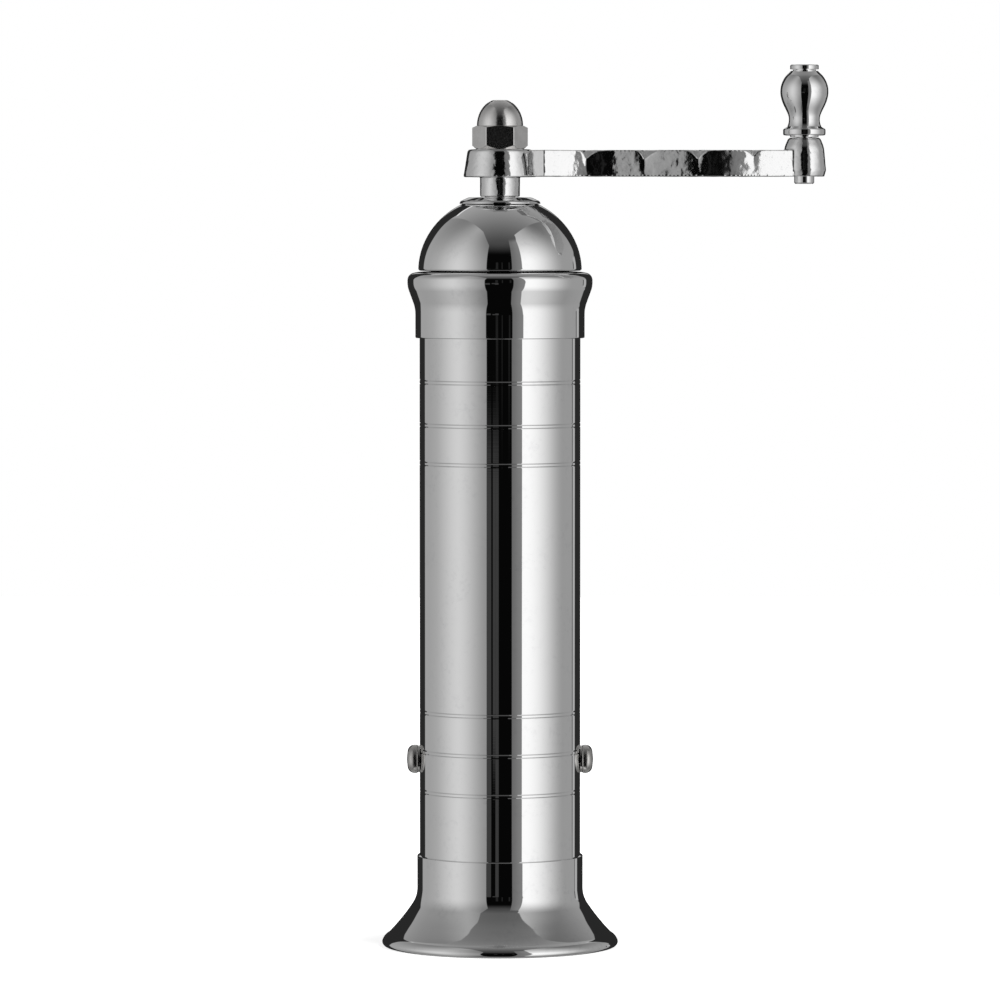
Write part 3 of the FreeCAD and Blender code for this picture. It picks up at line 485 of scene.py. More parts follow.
tube_low, tube_high = span("body_tube")
TUBE_R = tube_high.x
TUBE_BOTTOM = tube_low.z
TUBE_TOP = tube_high.z
TUBE_WALL = 1.0
BAND_DEPTH = 0.17
BAND_MOUTH = 0.4
BAND_LEAN = 0.13
BAND_PITCH = 0.93
BANDS_BELOW_COLLAR = (11.4, 22.55, 32.5)
BANDS_ABOVE_FOOT = (37.5, 27.2, 16.85)


def make_tube():
    collar_bottom = span("collar")[0].z
    foot_top = span("foot")[1].z
    middles = [collar_bottom - drop for drop in BANDS_BELOW_COLLAR]
    middles += [foot_top + rise for rise in BANDS_ABOVE_FOOT]
    bore_r = TUBE_R - TUBE_WALL
    points = [(bore_r, TUBE_BOTTOM), (TUBE_R, TUBE_BOTTOM)]
    for middle in sorted(middles):
        for side in (-1, 1):
            height = middle + side * BAND_PITCH / 2
            points.append((TUBE_R, height - BAND_MOUTH / 2))
            points.append((TUBE_R - BAND_DEPTH, height + side * BAND_LEAN))
            points.append((TUBE_R, height + BAND_MOUTH / 2))
    points += [(TUBE_R, TUBE_TOP), (bore_r, TUBE_TOP)]
    dress(turned("tube_turning", points), "body_tube", "root")


# The bend is a height and a round, and the flare a radius and a height. Knee, sweep and ledge are their
# distance from the flare, their height and their round, and the edge is the same from the ledge.
FOOT_SEAT = 15.5
FOOT_SLEEVE_WALL = 0.68
FOOT_WALL = 2.2
FOOT_BEND = (12.75, 7.6)
FOOT_KNEE = (4.15, 8.1, 40.0)
FOOT_SWEEP = (1.65, 5.1, 45.0)
FOOT_FLARE = (29.0, 3.3)
FOOT_LEDGE = (1.28, 2.41, 3.0)
FOOT_EDGE = (0.47, 1.25, 1.05)
FOOT_LAND = 2.2
FOOT_LIP = 1.2
FOOT_INNER_BEND = 6.0
FOOT_TOP_FALL = 0.18
FOOT_TOP_ROUND = 0.2


def make_foot():
    top = span("foot")[1].z
    sleeve_r = TUBE_R + FOOT_SLEEVE_WALL
    inner_r = sleeve_r - FOOT_WALL
    flare_r = FOOT_FLARE[0]
    knee_r = flare_r - FOOT_KNEE[0]
    ledge_r = flare_r + FOOT_LEDGE[0]
    rim_r = ledge_r + FOOT_EDGE[0]
    land_r = rim_r - FOOT_EDGE[2] - FOOT_LAND
    slope = (knee_r - sleeve_r) / (FOOT_BEND[0] - FOOT_KNEE[1])
    inner_bend = FOOT_BEND[0] - FOOT_WALL * math.tan(math.atan(slope) / 2)
    points = outline(
        (TUBE_R, top),
        (sleeve_r, top - FOOT_TOP_FALL, FOOT_TOP_ROUND),
        (sleeve_r, FOOT_BEND[0], FOOT_BEND[1]),
        (knee_r, FOOT_KNEE[1], FOOT_KNEE[2]),
        (flare_r - FOOT_SWEEP[0], FOOT_SWEEP[1], FOOT_SWEEP[2]),
        (flare_r, FOOT_FLARE[1]),
        (ledge_r, FOOT_LEDGE[1], FOOT_LEDGE[2]),
        (rim_r, FOOT_EDGE[1], FOOT_EDGE[2]),
        (rim_r, 0, FOOT_EDGE[2]),
        (land_r, 0),
        (land_r, FOOT_LIP),
        (inner_r, inner_bend, FOOT_INNER_BEND),
        (inner_r, FOOT_SEAT),
        (TUBE_R, FOOT_SEAT),
    )
    dress(turned("foot_turning", points), "foot", "root")


# The bead is its distance from the land, its depth below the top and its round
COLLAR_SKIRT_WALL = 1.1
COLLAR_LIP_DEPTH = 3.3
COLLAR_LIP_ROUND = 2.0
COLLAR_SWEEP_DEPTH = 9.7
COLLAR_SWEEP_ROUND = 8.6
COLLAR_SWELL_ROUND = 6.2
COLLAR_MOUTH_R = 16.3
COLLAR_LAND = 0.6
COLLAR_BEAD = (4.1, 0.2, 9.0)
COLLAR_TOP_FALL = 0.8
COLLAR_EDGE_ROUND = 0.3


def make_collar():
    low, high = span("collar")
    skirt_r = TUBE_R + COLLAR_SKIRT_WALL
    lip_top = high.z - COLLAR_TOP_FALL
    land_r = COLLAR_MOUTH_R + COLLAR_LAND
    points = outline(
        (TUBE_R, low.z),
        (skirt_r, low.z, COLLAR_EDGE_ROUND),
        (skirt_r, high.z - COLLAR_SWEEP_DEPTH, COLLAR_SWEEP_ROUND),
        (high.x, lip_top - COLLAR_LIP_DEPTH, COLLAR_SWELL_ROUND),
        (high.x, lip_top, COLLAR_LIP_ROUND),
        (land_r + COLLAR_BEAD[0], high.z - COLLAR_BEAD[1], COLLAR_BEAD[2]),
        (land_r, high.z),
        (COLLAR_MOUTH_R, high.z),
        (COLLAR_MOUTH_R, TUBE_TOP),
        (TUBE_R, TUBE_TOP),
    )
    dress(turned("collar_turning", points), "collar", "root")


# Lid

DOME_RISE = 19.55
DOME_HEIGHT = 17.5
DOME_WALL = 1.6
DOME_EDGE_ROUND = 0.6
DOME_FLOOR = 1.5
SPIGOT_WALL = 1.5
LID_SLIDE = 0.15
BUSH_R = 6.0
BUSH_CLEARANCE = 0.05


def make_dome():
    low, high = span("dome")
    outer_r = high.x
    top = high.z
    base = top - DOME_HEIGHT
    inner_r = outer_r - DOME_WALL
    inner_rise = DOME_RISE - DOME_WALL
    spigot_r = COLLAR_MOUTH_R - LID_SLIDE
    bore_r = spigot_r - SPIGOT_WALL
    ceiling = DOME_HEIGHT - DOME_WALL
    wall_start = DOME_FLOOR + inner_r - bore_r
    top_angle = math.degrees(math.asin(DOME_HEIGHT / DOME_RISE))
    inside_start = math.degrees(math.asin(wall_start / inner_rise))
    inside_end = math.degrees(math.asin(ceiling / inner_rise))
    hole_r = BUSH_R + BUSH_CLEARANCE
    edge_angle = math.degrees(math.asin(DOME_EDGE_ROUND / DOME_RISE))
    rim_r = outer_r * math.cos(math.radians(edge_angle))
    points = outline(
        (spigot_r, base),
        (rim_r, base, DOME_EDGE_ROUND),
        (rim_r, base + DOME_EDGE_ROUND),
    )
    points += oval(outer_r, DOME_RISE, base, edge_angle, top_angle, 72)[1:]
    points += [(hole_r, top), (hole_r, base + ceiling)]
    points += oval(inner_r, inner_rise, base, inside_end, inside_start)
    points += [
        (bore_r, base + DOME_FLOOR),
        (bore_r, low.z),
        (spigot_r, low.z),
    ]
    dress(turned("dome_turning", points), "dome", "lid")


SHAFT_R = 4.0
SHAFT_BORE_R = 4.05
BUSH_EDGE = 0.45
BUSH_EDGE_ROUND = 0.9
BUSH_FACE_R = 8.1
BUSH_CONE_ROUND = 2.0


def make_bush():
    low, high = span("top_bush")
    dome_top = span("dome")[1].z
    edge_top = dome_top + BUSH_EDGE
    points = outline(
        (SHAFT_BORE_R, low.z),
        (BUSH_R, low.z),
        (BUSH_R, dome_top),
        (high.x, dome_top),
        (high.x, edge_top, BUSH_EDGE_ROUND),
        (BUSH_FACE_R, high.z, BUSH_CONE_ROUND),
        (SHAFT_BORE_R, high.z),
    )
    dress(turned("bush_turning", points), "top_bush", "lid")


# Crank

shaft_low, shaft_high = span("drive_shaft")
crank_low = span("crank_arm")[0]
SHAFT_FLATS = 6.6
SHAFT_SQUARE = 5.6
SHAFT_SQUARE_LENGTH = 15.0
SHAFT_CHAMFER = 0.6
NECK_HEIGHT = 5.1
SHOULDER_LIFT = 1.0
RING_THICKNESS = 0.8
GROOVE_R = 3.4
HUB_BOTTOM = crank_low.z + NECK_HEIGHT
HUB_HEIGHT = 7.2
HUB_TOP = HUB_BOTTOM + HUB_HEIGHT
HUB_BOTTOM_R = 9.5
HUB_TOP_R = 8.35
HUB_ROUNDS = (0.3, 0.9)
NECK_R = 5.175
NECK_ROUND = 0.2
CRANK_RADIUS = 79.0
ARM_LIFT = 0.15
ARM_HEIGHT = 6.8
ARM_BOTTOM = HUB_BOTTOM + ARM_LIFT
ARM_TOP = ARM_BOTTOM + ARM_HEIGHT
ARM_DRAFT = 0.55
# Places along the arm, its half width there, and how fast that grows where a stretch starts and ends
ARM_PLACES = (8.0, 11.3, 25.0, 30.0, 49.5, 55.2, 76.1)
ARM_HALVES = (5.9, 8.3, 4.7, 5.15, 9.2, 9.75, 4.9)
ARM_SLOPES = ((0.73, 0.73), (-0.35, 0), (0, 0.2), (0.2, 0.19), (0.19, 0), (0, -0.3))
# Each pair of scallops meets in a cusp: its place, its depth, and the reach to hub and to knob
SCALLOPS = (
    (22.1, 2.6, 2.4, 5.4),
    (37.3, 2.6, 3.3, 6.2),
    (51.2, 2.5, 4.6, 4.2),
    (65.5, 1.8, 3.5, 3.0),
)
SCALLOP_SLOPE = 0.9
BOSS_HEIGHT = 10.1
BOSS_RADII = (5.2, 5.65, 5.15, 4.1)
BOSS_FOOT_HEIGHT = 1.6
BOSS_SHOULDER_DROP = 2.6
BOSS_ROUNDS = (1.2, 6.0, 1.1)
PIN_HOLE_R = 2.02
CAST_CELL = 0.2
CAST_SMOOTHING = 5
CAST_WAVES = ((2.6, 0.045), (1.0, 0.02))


def make_shaft():
    bottom = shaft_low.z
    top = shaft_high.z
    ring_top = span("retaining_ring")[1].z
    points = [
        (0, bottom),
        (SHAFT_R - SHAFT_CHAMFER, bottom),
        (SHAFT_R, bottom + SHAFT_CHAMFER),
        (SHAFT_R, ring_top - RING_THICKNESS),
        (GROOVE_R, ring_top - RING_THICKNESS),
        (GROOVE_R, ring_top),
        (SHAFT_R, ring_top),
        (SHAFT_R, top - SHAFT_CHAMFER),
        (SHAFT_R - SHAFT_CHAMFER, top),
        (0, top),
    ]
    piece = turned("shaft_bar", points, SMALL_ROUND)
    reach = 2 * SHAFT_R
    square = SHAFT_SQUARE / 2
    square_top = bottom + SHAFT_SQUARE_LENGTH
    shoulder = HUB_BOTTOM + SHOULDER_LIFT
    for side in (-1, 1):
        cuts = [
            (side * (square + reach), 0, bottom - 1, square_top),
            (0, side * (square + reach), bottom - 1, square_top),
            (0, side * (SHAFT_FLATS / 2 + reach), shoulder, top + 1),
        ]
        for x, y, low, high in cuts:
            corners = [(x + a, y + b) for a, b in box_corners(reach, reach)]
            carve(piece, prism("cutter", corners, low, high))
    dress(piece, "drive_shaft", "crank")


def arm_half(place):
    """How far the arm's sides stand from its middle at a place along it."""
    i = 0
    while i < len(ARM_PLACES) - 2 and place > ARM_PLACES[i + 1]:
        i += 1
    length = ARM_PLACES[i + 1] - ARM_PLACES[i]
    t = (place - ARM_PLACES[i]) / length
    return (
        (2 * t**3 - 3 * t**2 + 1) * ARM_HALVES[i]
        + (t**3 - 2 * t**2 + t) * length * ARM_SLOPES[i][0]
        + (3 * t**2 - 2 * t**3) * ARM_HALVES[i + 1]
        + (t**3 - t**2) * length * ARM_SLOPES[i][1]
    )


def scallop_drop(place, inward):
    """How far the arm's top is cut down at a place along it, that far in from its edge."""
    drop = 0.0
    for cusp, depth, towards_hub, towards_knob in SCALLOPS:
        reach = towards_hub if place < cusp else towards_knob
        along = abs(place - cusp)
        if along < reach:
            radius = (reach**2 + depth**2) / (2 * depth)
            fall = radius - math.sqrt(radius**2 - (reach - along) ** 2)
            drop = max(drop, fall - SCALLOP_SLOPE * inward)
    return drop


def arm_mesh():
    """The arm as rings of points: up its front, across its scalloped top and down its back."""
    across = 40
    upright = 6
    stations = np.arange(ARM_PLACES[0], ARM_PLACES[-1] + JOIN, 0.2)
    spots = []
    for x in stations:
        half = arm_half(x)
        edge = half - ARM_DRAFT
        edge_top = ARM_TOP - scallop_drop(x, 0)
        row = []
        for k in range(upright):
            share = k / upright
            row.append((x, ARM_DRAFT * share - half, ARM_BOTTOM + (edge_top - ARM_BOTTOM) * share))
        for k in range(across + 1):
            y = edge * (2 * k / across - 1)
            row.append((x, y, ARM_TOP - scallop_drop(x, edge - abs(y))))
        for k in range(upright, -1, -1):
            share = k / upright
            row.append((x, half - ARM_DRAFT * share, ARM_BOTTOM + (edge_top - ARM_BOTTOM) * share))
        spots += row
    ring = len(spots) // len(stations)
    faces = []
    for s in range(len(stations) - 1):
        for k in range(ring):
            a = s * ring + k
            b = s * ring + (k + 1) % ring
            faces.append([a, b, b + ring, a + ring])
    last = (len(stations) - 1) * ring
    faces.append(list(range(ring))[::-1])
    faces.append(list(range(last, last + ring)))
    mesh = bpy.data.meshes.new("arm")
    mesh.from_pydata([(x * MM, y * MM, z * MM) for x, y, z in spots], [], faces)
    return mesh


def make_crank():
    """Hub, neck, arm and boss run into one casting, whose skin is slightly uneven."""
    hub = turned_mesh(
        "hub",
        outline(
            (SHAFT_BORE_R, crank_low.z),
            (NECK_R, crank_low.z, NECK_ROUND),
            (NECK_R, HUB_BOTTOM),
            (HUB_BOTTOM_R, HUB_BOTTOM, HUB_ROUNDS[0]),
            (HUB_TOP_R, HUB_TOP, HUB_ROUNDS[1]),
            (SHAFT_BORE_R, HUB_TOP),
        ),
    )
    boss_top = ARM_BOTTOM + BOSS_HEIGHT
    boss = turned_mesh(
        "boss",
        outline(
            (PIN_HOLE_R, ARM_BOTTOM),
            (BOSS_RADII[0], ARM_BOTTOM),
            (BOSS_RADII[1], ARM_BOTTOM + BOSS_FOOT_HEIGHT, BOSS_ROUNDS[0]),
            (BOSS_RADII[2], boss_top - BOSS_SHOULDER_DROP, BOSS_ROUNDS[1]),
            (BOSS_RADII[3], boss_top, BOSS_ROUNDS[2]),
            (PIN_HOLE_R, boss_top),
        ),
    )
    for vertex in boss.vertices:
        vertex.co.x += CRANK_RADIUS * MM
    piece = bpy.data.objects.new("crank_casting", joined("crank", [hub, arm_mesh(), boss]))
    bpy.context.scene.collection.objects.link(piece)
    merge = piece.modifiers.new("merge", "REMESH")
    merge.mode = "VOXEL"
    merge.voxel_size = CAST_CELL * MM
    ease = piece.modifiers.new("ease", "SMOOTH")
    ease.factor = 0.5
    ease.iterations = CAST_SMOOTHING
    bake(piece)
    mesh = piece.data
    normals = [vertex.normal.copy() for vertex in mesh.vertices]
    for vertex, normal in zip(mesh.vertices, normals):
        place = vertex.co / MM
        lift = sum(depth * noise.noise(place / wave) for wave, depth in CAST_WAVES)
        vertex.co += normal * lift * MM
    mesh.shade_smooth()
    dress(piece, "crank_arm", "crank")


NUT_FLATS = 12.6
NUT_HEIGHT = 6.1
NUT_CHAMFERS = (1.0, 0.55)
NUT_FACE_INSET = 0.2
NUT_EDGE_ROUND = 0.4
CAP_R = 6.0
CAP_RISE = 7.05
CAP_HEIGHT = 6.65
CAP_TOP_ROUND = 1.5
BUSH_NUT_FLATS = 16.0
BUSH_NUT_CHAMFERS = (0.6, 0.6)


def hex_body(name, across, bottom, top, chamfers):
    """A hexagon whose corners are turned off at both faces."""
    corner = across / math.sqrt(3)
    face_r = across / 2 - NUT_FACE_INSET
    points = [
        (0, bottom),
        (face_r, bottom),
        (corner, bottom + chamfers[0]),
        (corner, top - chamfers[1]),
        (face_r, top),
        (0, top),
    ]
    piece = turned(name, points, ROUND)
    cutter = prism("cutter", hex_corners(across, NUT_EDGE_ROUND), bottom - 1, top + 1)
    return carve(piece, cutter, "INTERSECT")


def make_cap_nut():
    low = span("cap_nut")[0]
    hex_top = low.z + NUT_HEIGHT
    nut = hex_body("nut", NUT_FLATS, low.z, hex_top, NUT_CHAMFERS)
    cap_top = hex_top + CAP_HEIGHT
    side = oval(CAP_R, CAP_RISE, hex_top, 0, math.degrees(math.asin(CAP_HEIGHT / CAP_RISE)))
    shoulder = side[-1]
    side = [point for point in side if point[1] < cap_top - CAP_TOP_ROUND / 2]
    points = side + outline(side[-1], (*shoulder, CAP_TOP_ROUND), (0, cap_top))
    points += [(0, hex_top - 1), (CAP_R, hex_top - 1)]
    cap = turned_mesh("cap", points)
    mesh = joined("cap_nut_forging", [nut.data, cap])
    bpy.data.objects.remove(nut)
    dress(finish_mesh("cap_nut_forging", mesh, weigh=False), "cap_nut", "crank")


def make_bush_nut():
    low, high = span("bush_nut")
    nut = hex_body("bush_nut_forging", BUSH_NUT_FLATS, low.z, high.z, BUSH_NUT_CHAMFERS)
    bore = [(0, low.z - 1), (BUSH_R, low.z - 1), (BUSH_R, high.z + 1), (0, high.z + 1)]
    dress(carve(nut, turned("cutter", bore)), "bush_nut", "lid")


# Knob

# Collar, flange, step, head and end are a radius and a height. The bulb starts at the flange's base.
KNOB_COLLAR = (3.7, 0.4)
KNOB_FLANGE = (5.5, 1.6)
KNOB_FLANGE_ROUND = 0.45
KNOB_STEP = (0.3, 0.45)
KNOB_PROFILE = ((4.4, 2.3), (4.0, 4.2), (5.35, 7.8), (6.225, 11.3), (4.95, 15.2), (3.5, 16.7))
KNOB_SLOPES = (-0.45, 0.0, 0.45, 0.0, -0.72, -0.9)
KNOB_THROAT_R = 3.0
KNOB_BORE_R = 2.08
PIN_R = 2.0
PIN_HEAD = (3.7, 1.15)
PIN_END = (2.6, 1.6)
PIN_CHAMFERS = (0.2, 0.3)
PIN_PEEN = 0.3


def at_boss(piece):
    piece.location.x = CRANK_RADIUS * MM
    return piece


def make_knob():
    low, high = span("knob")
    base = low.z + KNOB_COLLAR[1]
    flange_top = base + KNOB_FLANGE[1]
    points = outline(
        (KNOB_BORE_R, low.z),
        (KNOB_COLLAR[0], low.z),
        (KNOB_COLLAR[0], base),
        (KNOB_FLANGE[0], base, KNOB_FLANGE_ROUND),
        (KNOB_FLANGE[0], flange_top, KNOB_FLANGE_ROUND),
        (KNOB_PROFILE[0][0] + KNOB_STEP[0], flange_top + KNOB_STEP[1]),
    )
    bulb = [(radius, base + height) for radius, height in KNOB_PROFILE]
    points += smooth_run(bulb, KNOB_SLOPES)
    points += [(KNOB_THROAT_R, bulb[-1][1]), (KNOB_THROAT_R, high.z), (KNOB_BORE_R, high.z)]
    dress(at_boss(turned("knob_turning", points)), "knob", "grip")


def make_knob_pin():
    low, high = span("knob_pin")
    head_bottom = high.z - PIN_HEAD[1]
    bottom = low.z - PIN_PEEN
    end_top = low.z + PIN_END[1]
    points = [
        (0, bottom),
        (PIN_END[0] - PIN_CHAMFERS[1], bottom),
        (PIN_END[0], bottom + PIN_CHAMFERS[1]),
        (PIN_END[0], end_top),
        (PIN_R, end_top),
        (PIN_R, head_bottom),
        (PIN_HEAD[0], head_bottom),
        (PIN_HEAD[0], high.z - PIN_CHAMFERS[0]),
        (PIN_HEAD[0] - PIN_CHAMFERS[0], high.z),
        (0, high.z),
    ]
    dress(at_boss(turned("knob_pin_turning", points)), "knob_pin", "crank")


# Side screws

SCREW_HEIGHT = 48.75
SCREW_R = 2.0
SCREW_REACH = 4.5
SCREW_HEAD_R = 3.7
SCREW_HEAD_HEIGHT = 2.95
SCREW_HEAD_ROUNDS = (0.4, 1.8)
SCREW_DOME = 0.4
SCREW_SLOT = (0.9, 0.9)
WASHER_R = 3.5
WASHER_THICKNESS = 0.5
WASHER_HOLE_R = 2.15


def laid_to_side(piece, side):
    """Bakes a piece made along +Z into one that points to +X or -X at the screws' height."""
    turn = 1 if side > 0 else -1
    for vertex in piece.data.vertices:
        x, y, z = vertex.co
        vertex.co = Vector((turn * z, turn * y, -x + SCREW_HEIGHT * MM))
    return piece


def make_side_screws():
    seat = TUBE_R + WASHER_THICKNESS
    face = seat + SCREW_HEAD_HEIGHT
    reach = span("housing_screws")[1].x
    inner_end = TUBE_R - TUBE_WALL - SCREW_REACH
    heads = []
    washers = []
    for side in (-1, 1):
        points = outline(
            (0, inner_end),
            (SCREW_R, inner_end),
            (SCREW_R, seat),
            (SCREW_HEAD_R, seat, SCREW_HEAD_ROUNDS[0]),
            (SCREW_HEAD_R, face - SCREW_DOME, SCREW_HEAD_ROUNDS[1]),
            (0, min(face, reach)),
        )
        head = turned("head", points, SMALL_ROUND)
        slot = prism("cutter", box_corners(5, SCREW_SLOT[0] / 2), face - SCREW_SLOT[1], face + 1)
        carve(head, slot)
        heads.append(laid_to_side(head, side))
        ring = [
            (WASHER_HOLE_R, TUBE_R),
            (WASHER_R, TUBE_R),
            (WASHER_R, seat),
            (WASHER_HOLE_R, seat),
        ]
        washers.append(laid_to_side(turned("ring", ring, SMALL_ROUND), side))
    for name, node, pieces in (
        ("side_screw_heads", "housing_screws", heads),
        ("side_screw_rings", "screw_washers", washers),
    ):
        mesh = joined(name, [piece.data for piece in pieces])
        for piece in pieces:
            bpy.data.objects.remove(piece)
        dress(finish_mesh(name, mesh, weigh=False), node, "root")


# Spring

SPRING_TURNS = 3.5
SPRING_R = 5.7
SPRING_WIRE_R = 0.55
SPRING_STEPS = 48


def make_spring():
    low, high = span("burr_spring")
    bottom = low.z + SPRING_WIRE_R
    rise = high.z - low.z - 2 * SPRING_WIRE_R
    steps = int(SPRING_TURNS * SPRING_STEPS)
    around = 16
    spots = []
    for i in range(steps + 1):
        share = i / steps
        angle = 2 * math.pi * SPRING_TURNS * share
        for k in range(around):
            turn = 2 * math.pi * k / around
            radius = SPRING_R + SPRING_WIRE_R * math.cos(turn)
            height = bottom + rise * share + SPRING_WIRE_R * math.sin(turn)
            spots.append((radius * math.cos(angle), radius * math.sin(angle), height))
    faces = []
    for i in range(steps):
        for k in range(around):
            a = i * around + k
            b = i * around + (k + 1) % around
            faces.append([a, b, b + around, a + around])
    faces.append(list(range(around))[::-1])
    faces.append(list(range(steps * around, (steps + 1) * around)))
    mesh = bpy.data.meshes.new("burr_spring_wire")
    mesh.from_pydata([(x * MM, y * MM, z * MM) for x, y, z in spots], [], faces)
    piece = finish_mesh("burr_spring_wire", mesh, weigh=False)
    slot = SLOTS["burr_spring"]
    mesh.materials.append(MATERIALS[slot])
    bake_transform(piece)
    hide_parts("burr_spring")


def dress_cad_nodes():
    """The nodes whose CAD shape stays get their material."""
    for name, piece in frame["nodes"].items():
        if piece.hide_render:
            continue
        material = MATERIALS[SLOTS[name]]
        for slot in piece.material_slots:
            slot.material = material
        if not piece.material_slots:
            piece.data.materials.append(material)


# Studio

CAMERA_DISTANCE = 1.6
CAMERA_HEIGHT = 0.1879
AIM_HEIGHT = 0.1163
LENS = 221.5


def make_camera():
    data = bpy.data.cameras.new("camera")
    data.lens = LENS
    data.sensor_width = 36
    camera = bpy.data.objects.new("camera", data)
    bpy.context.scene.collection.objects.link(camera)
    camera.location = (0, -CAMERA_DISTANCE, CAMERA_HEIGHT)
    aim = Vector((0, 0, AIM_HEIGHT)) - camera.location
    camera.rotation_euler = aim.to_track_quat("-Z", "Y").to_euler()
    bpy.context.scene.camera = camera


# The studio as the metal sees it. Bearings are in degrees round the object, 0 towards the camera and
# plus to its right; heights are in degrees above or below the level, and rises are plus upwards.
# The ceiling is its slope, its level and its least level, and a box's top is how fast it climbs to the
# front and to the side. Elsewhere two numbers are the start and end of a smooth step, four add the
# values before and after it, and three are a window: its start, its end and its soft edge.

EDGE_BLUR = 0.8
ROOM_BLUR = 0.02
CEILING = (0.22, 0.21, 0.07)
LEFT_BOX_TOP = ((0.62, 2.15), (-0.02, 2.785))
LEFT_BOX_NEAR = (-19.6, -18.2, 1, 0)
LEFT_BOX_FAR = (18, 40, -137.5, -148)
LEFT_GLOW_FRONT = (-64, -12, 0.66, 0.27)
LEFT_GLOW_BACK = (-106, -60, 0.36, 0.59)
LEFT_GLOW_END = (-126, -88, 0, 0.07)
LEFT_GLOW_FALL = (5, 60, 1, 0.55)
RIGHT_BOX_TOP = (0.7, 1.9)
RIGHT_BOX_NEAR = ((0, 10, 31.8, 30.1), (45, 57, 0, 3.7))
RIGHT_BOX_FAR = ((5, 12, 127, 138), (24, 40, 0, 9))
RIGHT_GLOW = (36, 104, 1.044, 0.324)
RIGHT_GLOW_FALL = (12, 60, 1, 0.45)
CARD = (16.8, 31.4, 1.2)
CARD_TOP = (46, 54, 1, 0)
CARD_LEVEL = (17, 30, 0.155, 0.215)
GAP = (-18.9, 16.8, 1.2)
GAP_TOP = (26, 50, 1, 0)
GAP_BOTTOM = (-72, -62)
GAP_LEVEL = 0.002
STREAKS = (
    ((-18.9, -12.5, 0.8), (-8, -6), (-2.6, -1.4, 1, 0), 0.045),
    ((-6.4, -1.9, 0.8), (-8, -6), (-2.6, -1.4, 1, 0), 0.045),
    ((-10.2, -6.4, 0.8), (-5.4, -4.6), (-2.6, -1.4, 1, 0), 0.045),
    ((-5.8, -2.6, 0.8), (-2.5, -0.5), (13, 15, 1, 0), 0.017),
    ((12, 14, 0.8), (-2.5, -0.5), (13, 15, 1, 0), 0.017),
    ((2.3, 3.6, 0.6), (-2.5, -0.5), (13, 15, 1, 0), 0.017),
)
FLAG_TOP = (38, 39.5, 1, 0)
FLAG_LEVEL = 0.022
LINE = (129, 136.5, 0.8)
LINE_TOP = (8, 10, 1, 0)
LINE_LEVEL = 0.42
BRIM = (38.6, 41, 0.8)
BRIM_START = (145, 147)
BRIM_LEVEL = 0.8
BACK_START = (169, 171)
BACK_RISE = (8, 11)
BACK_LEVEL = 0.5


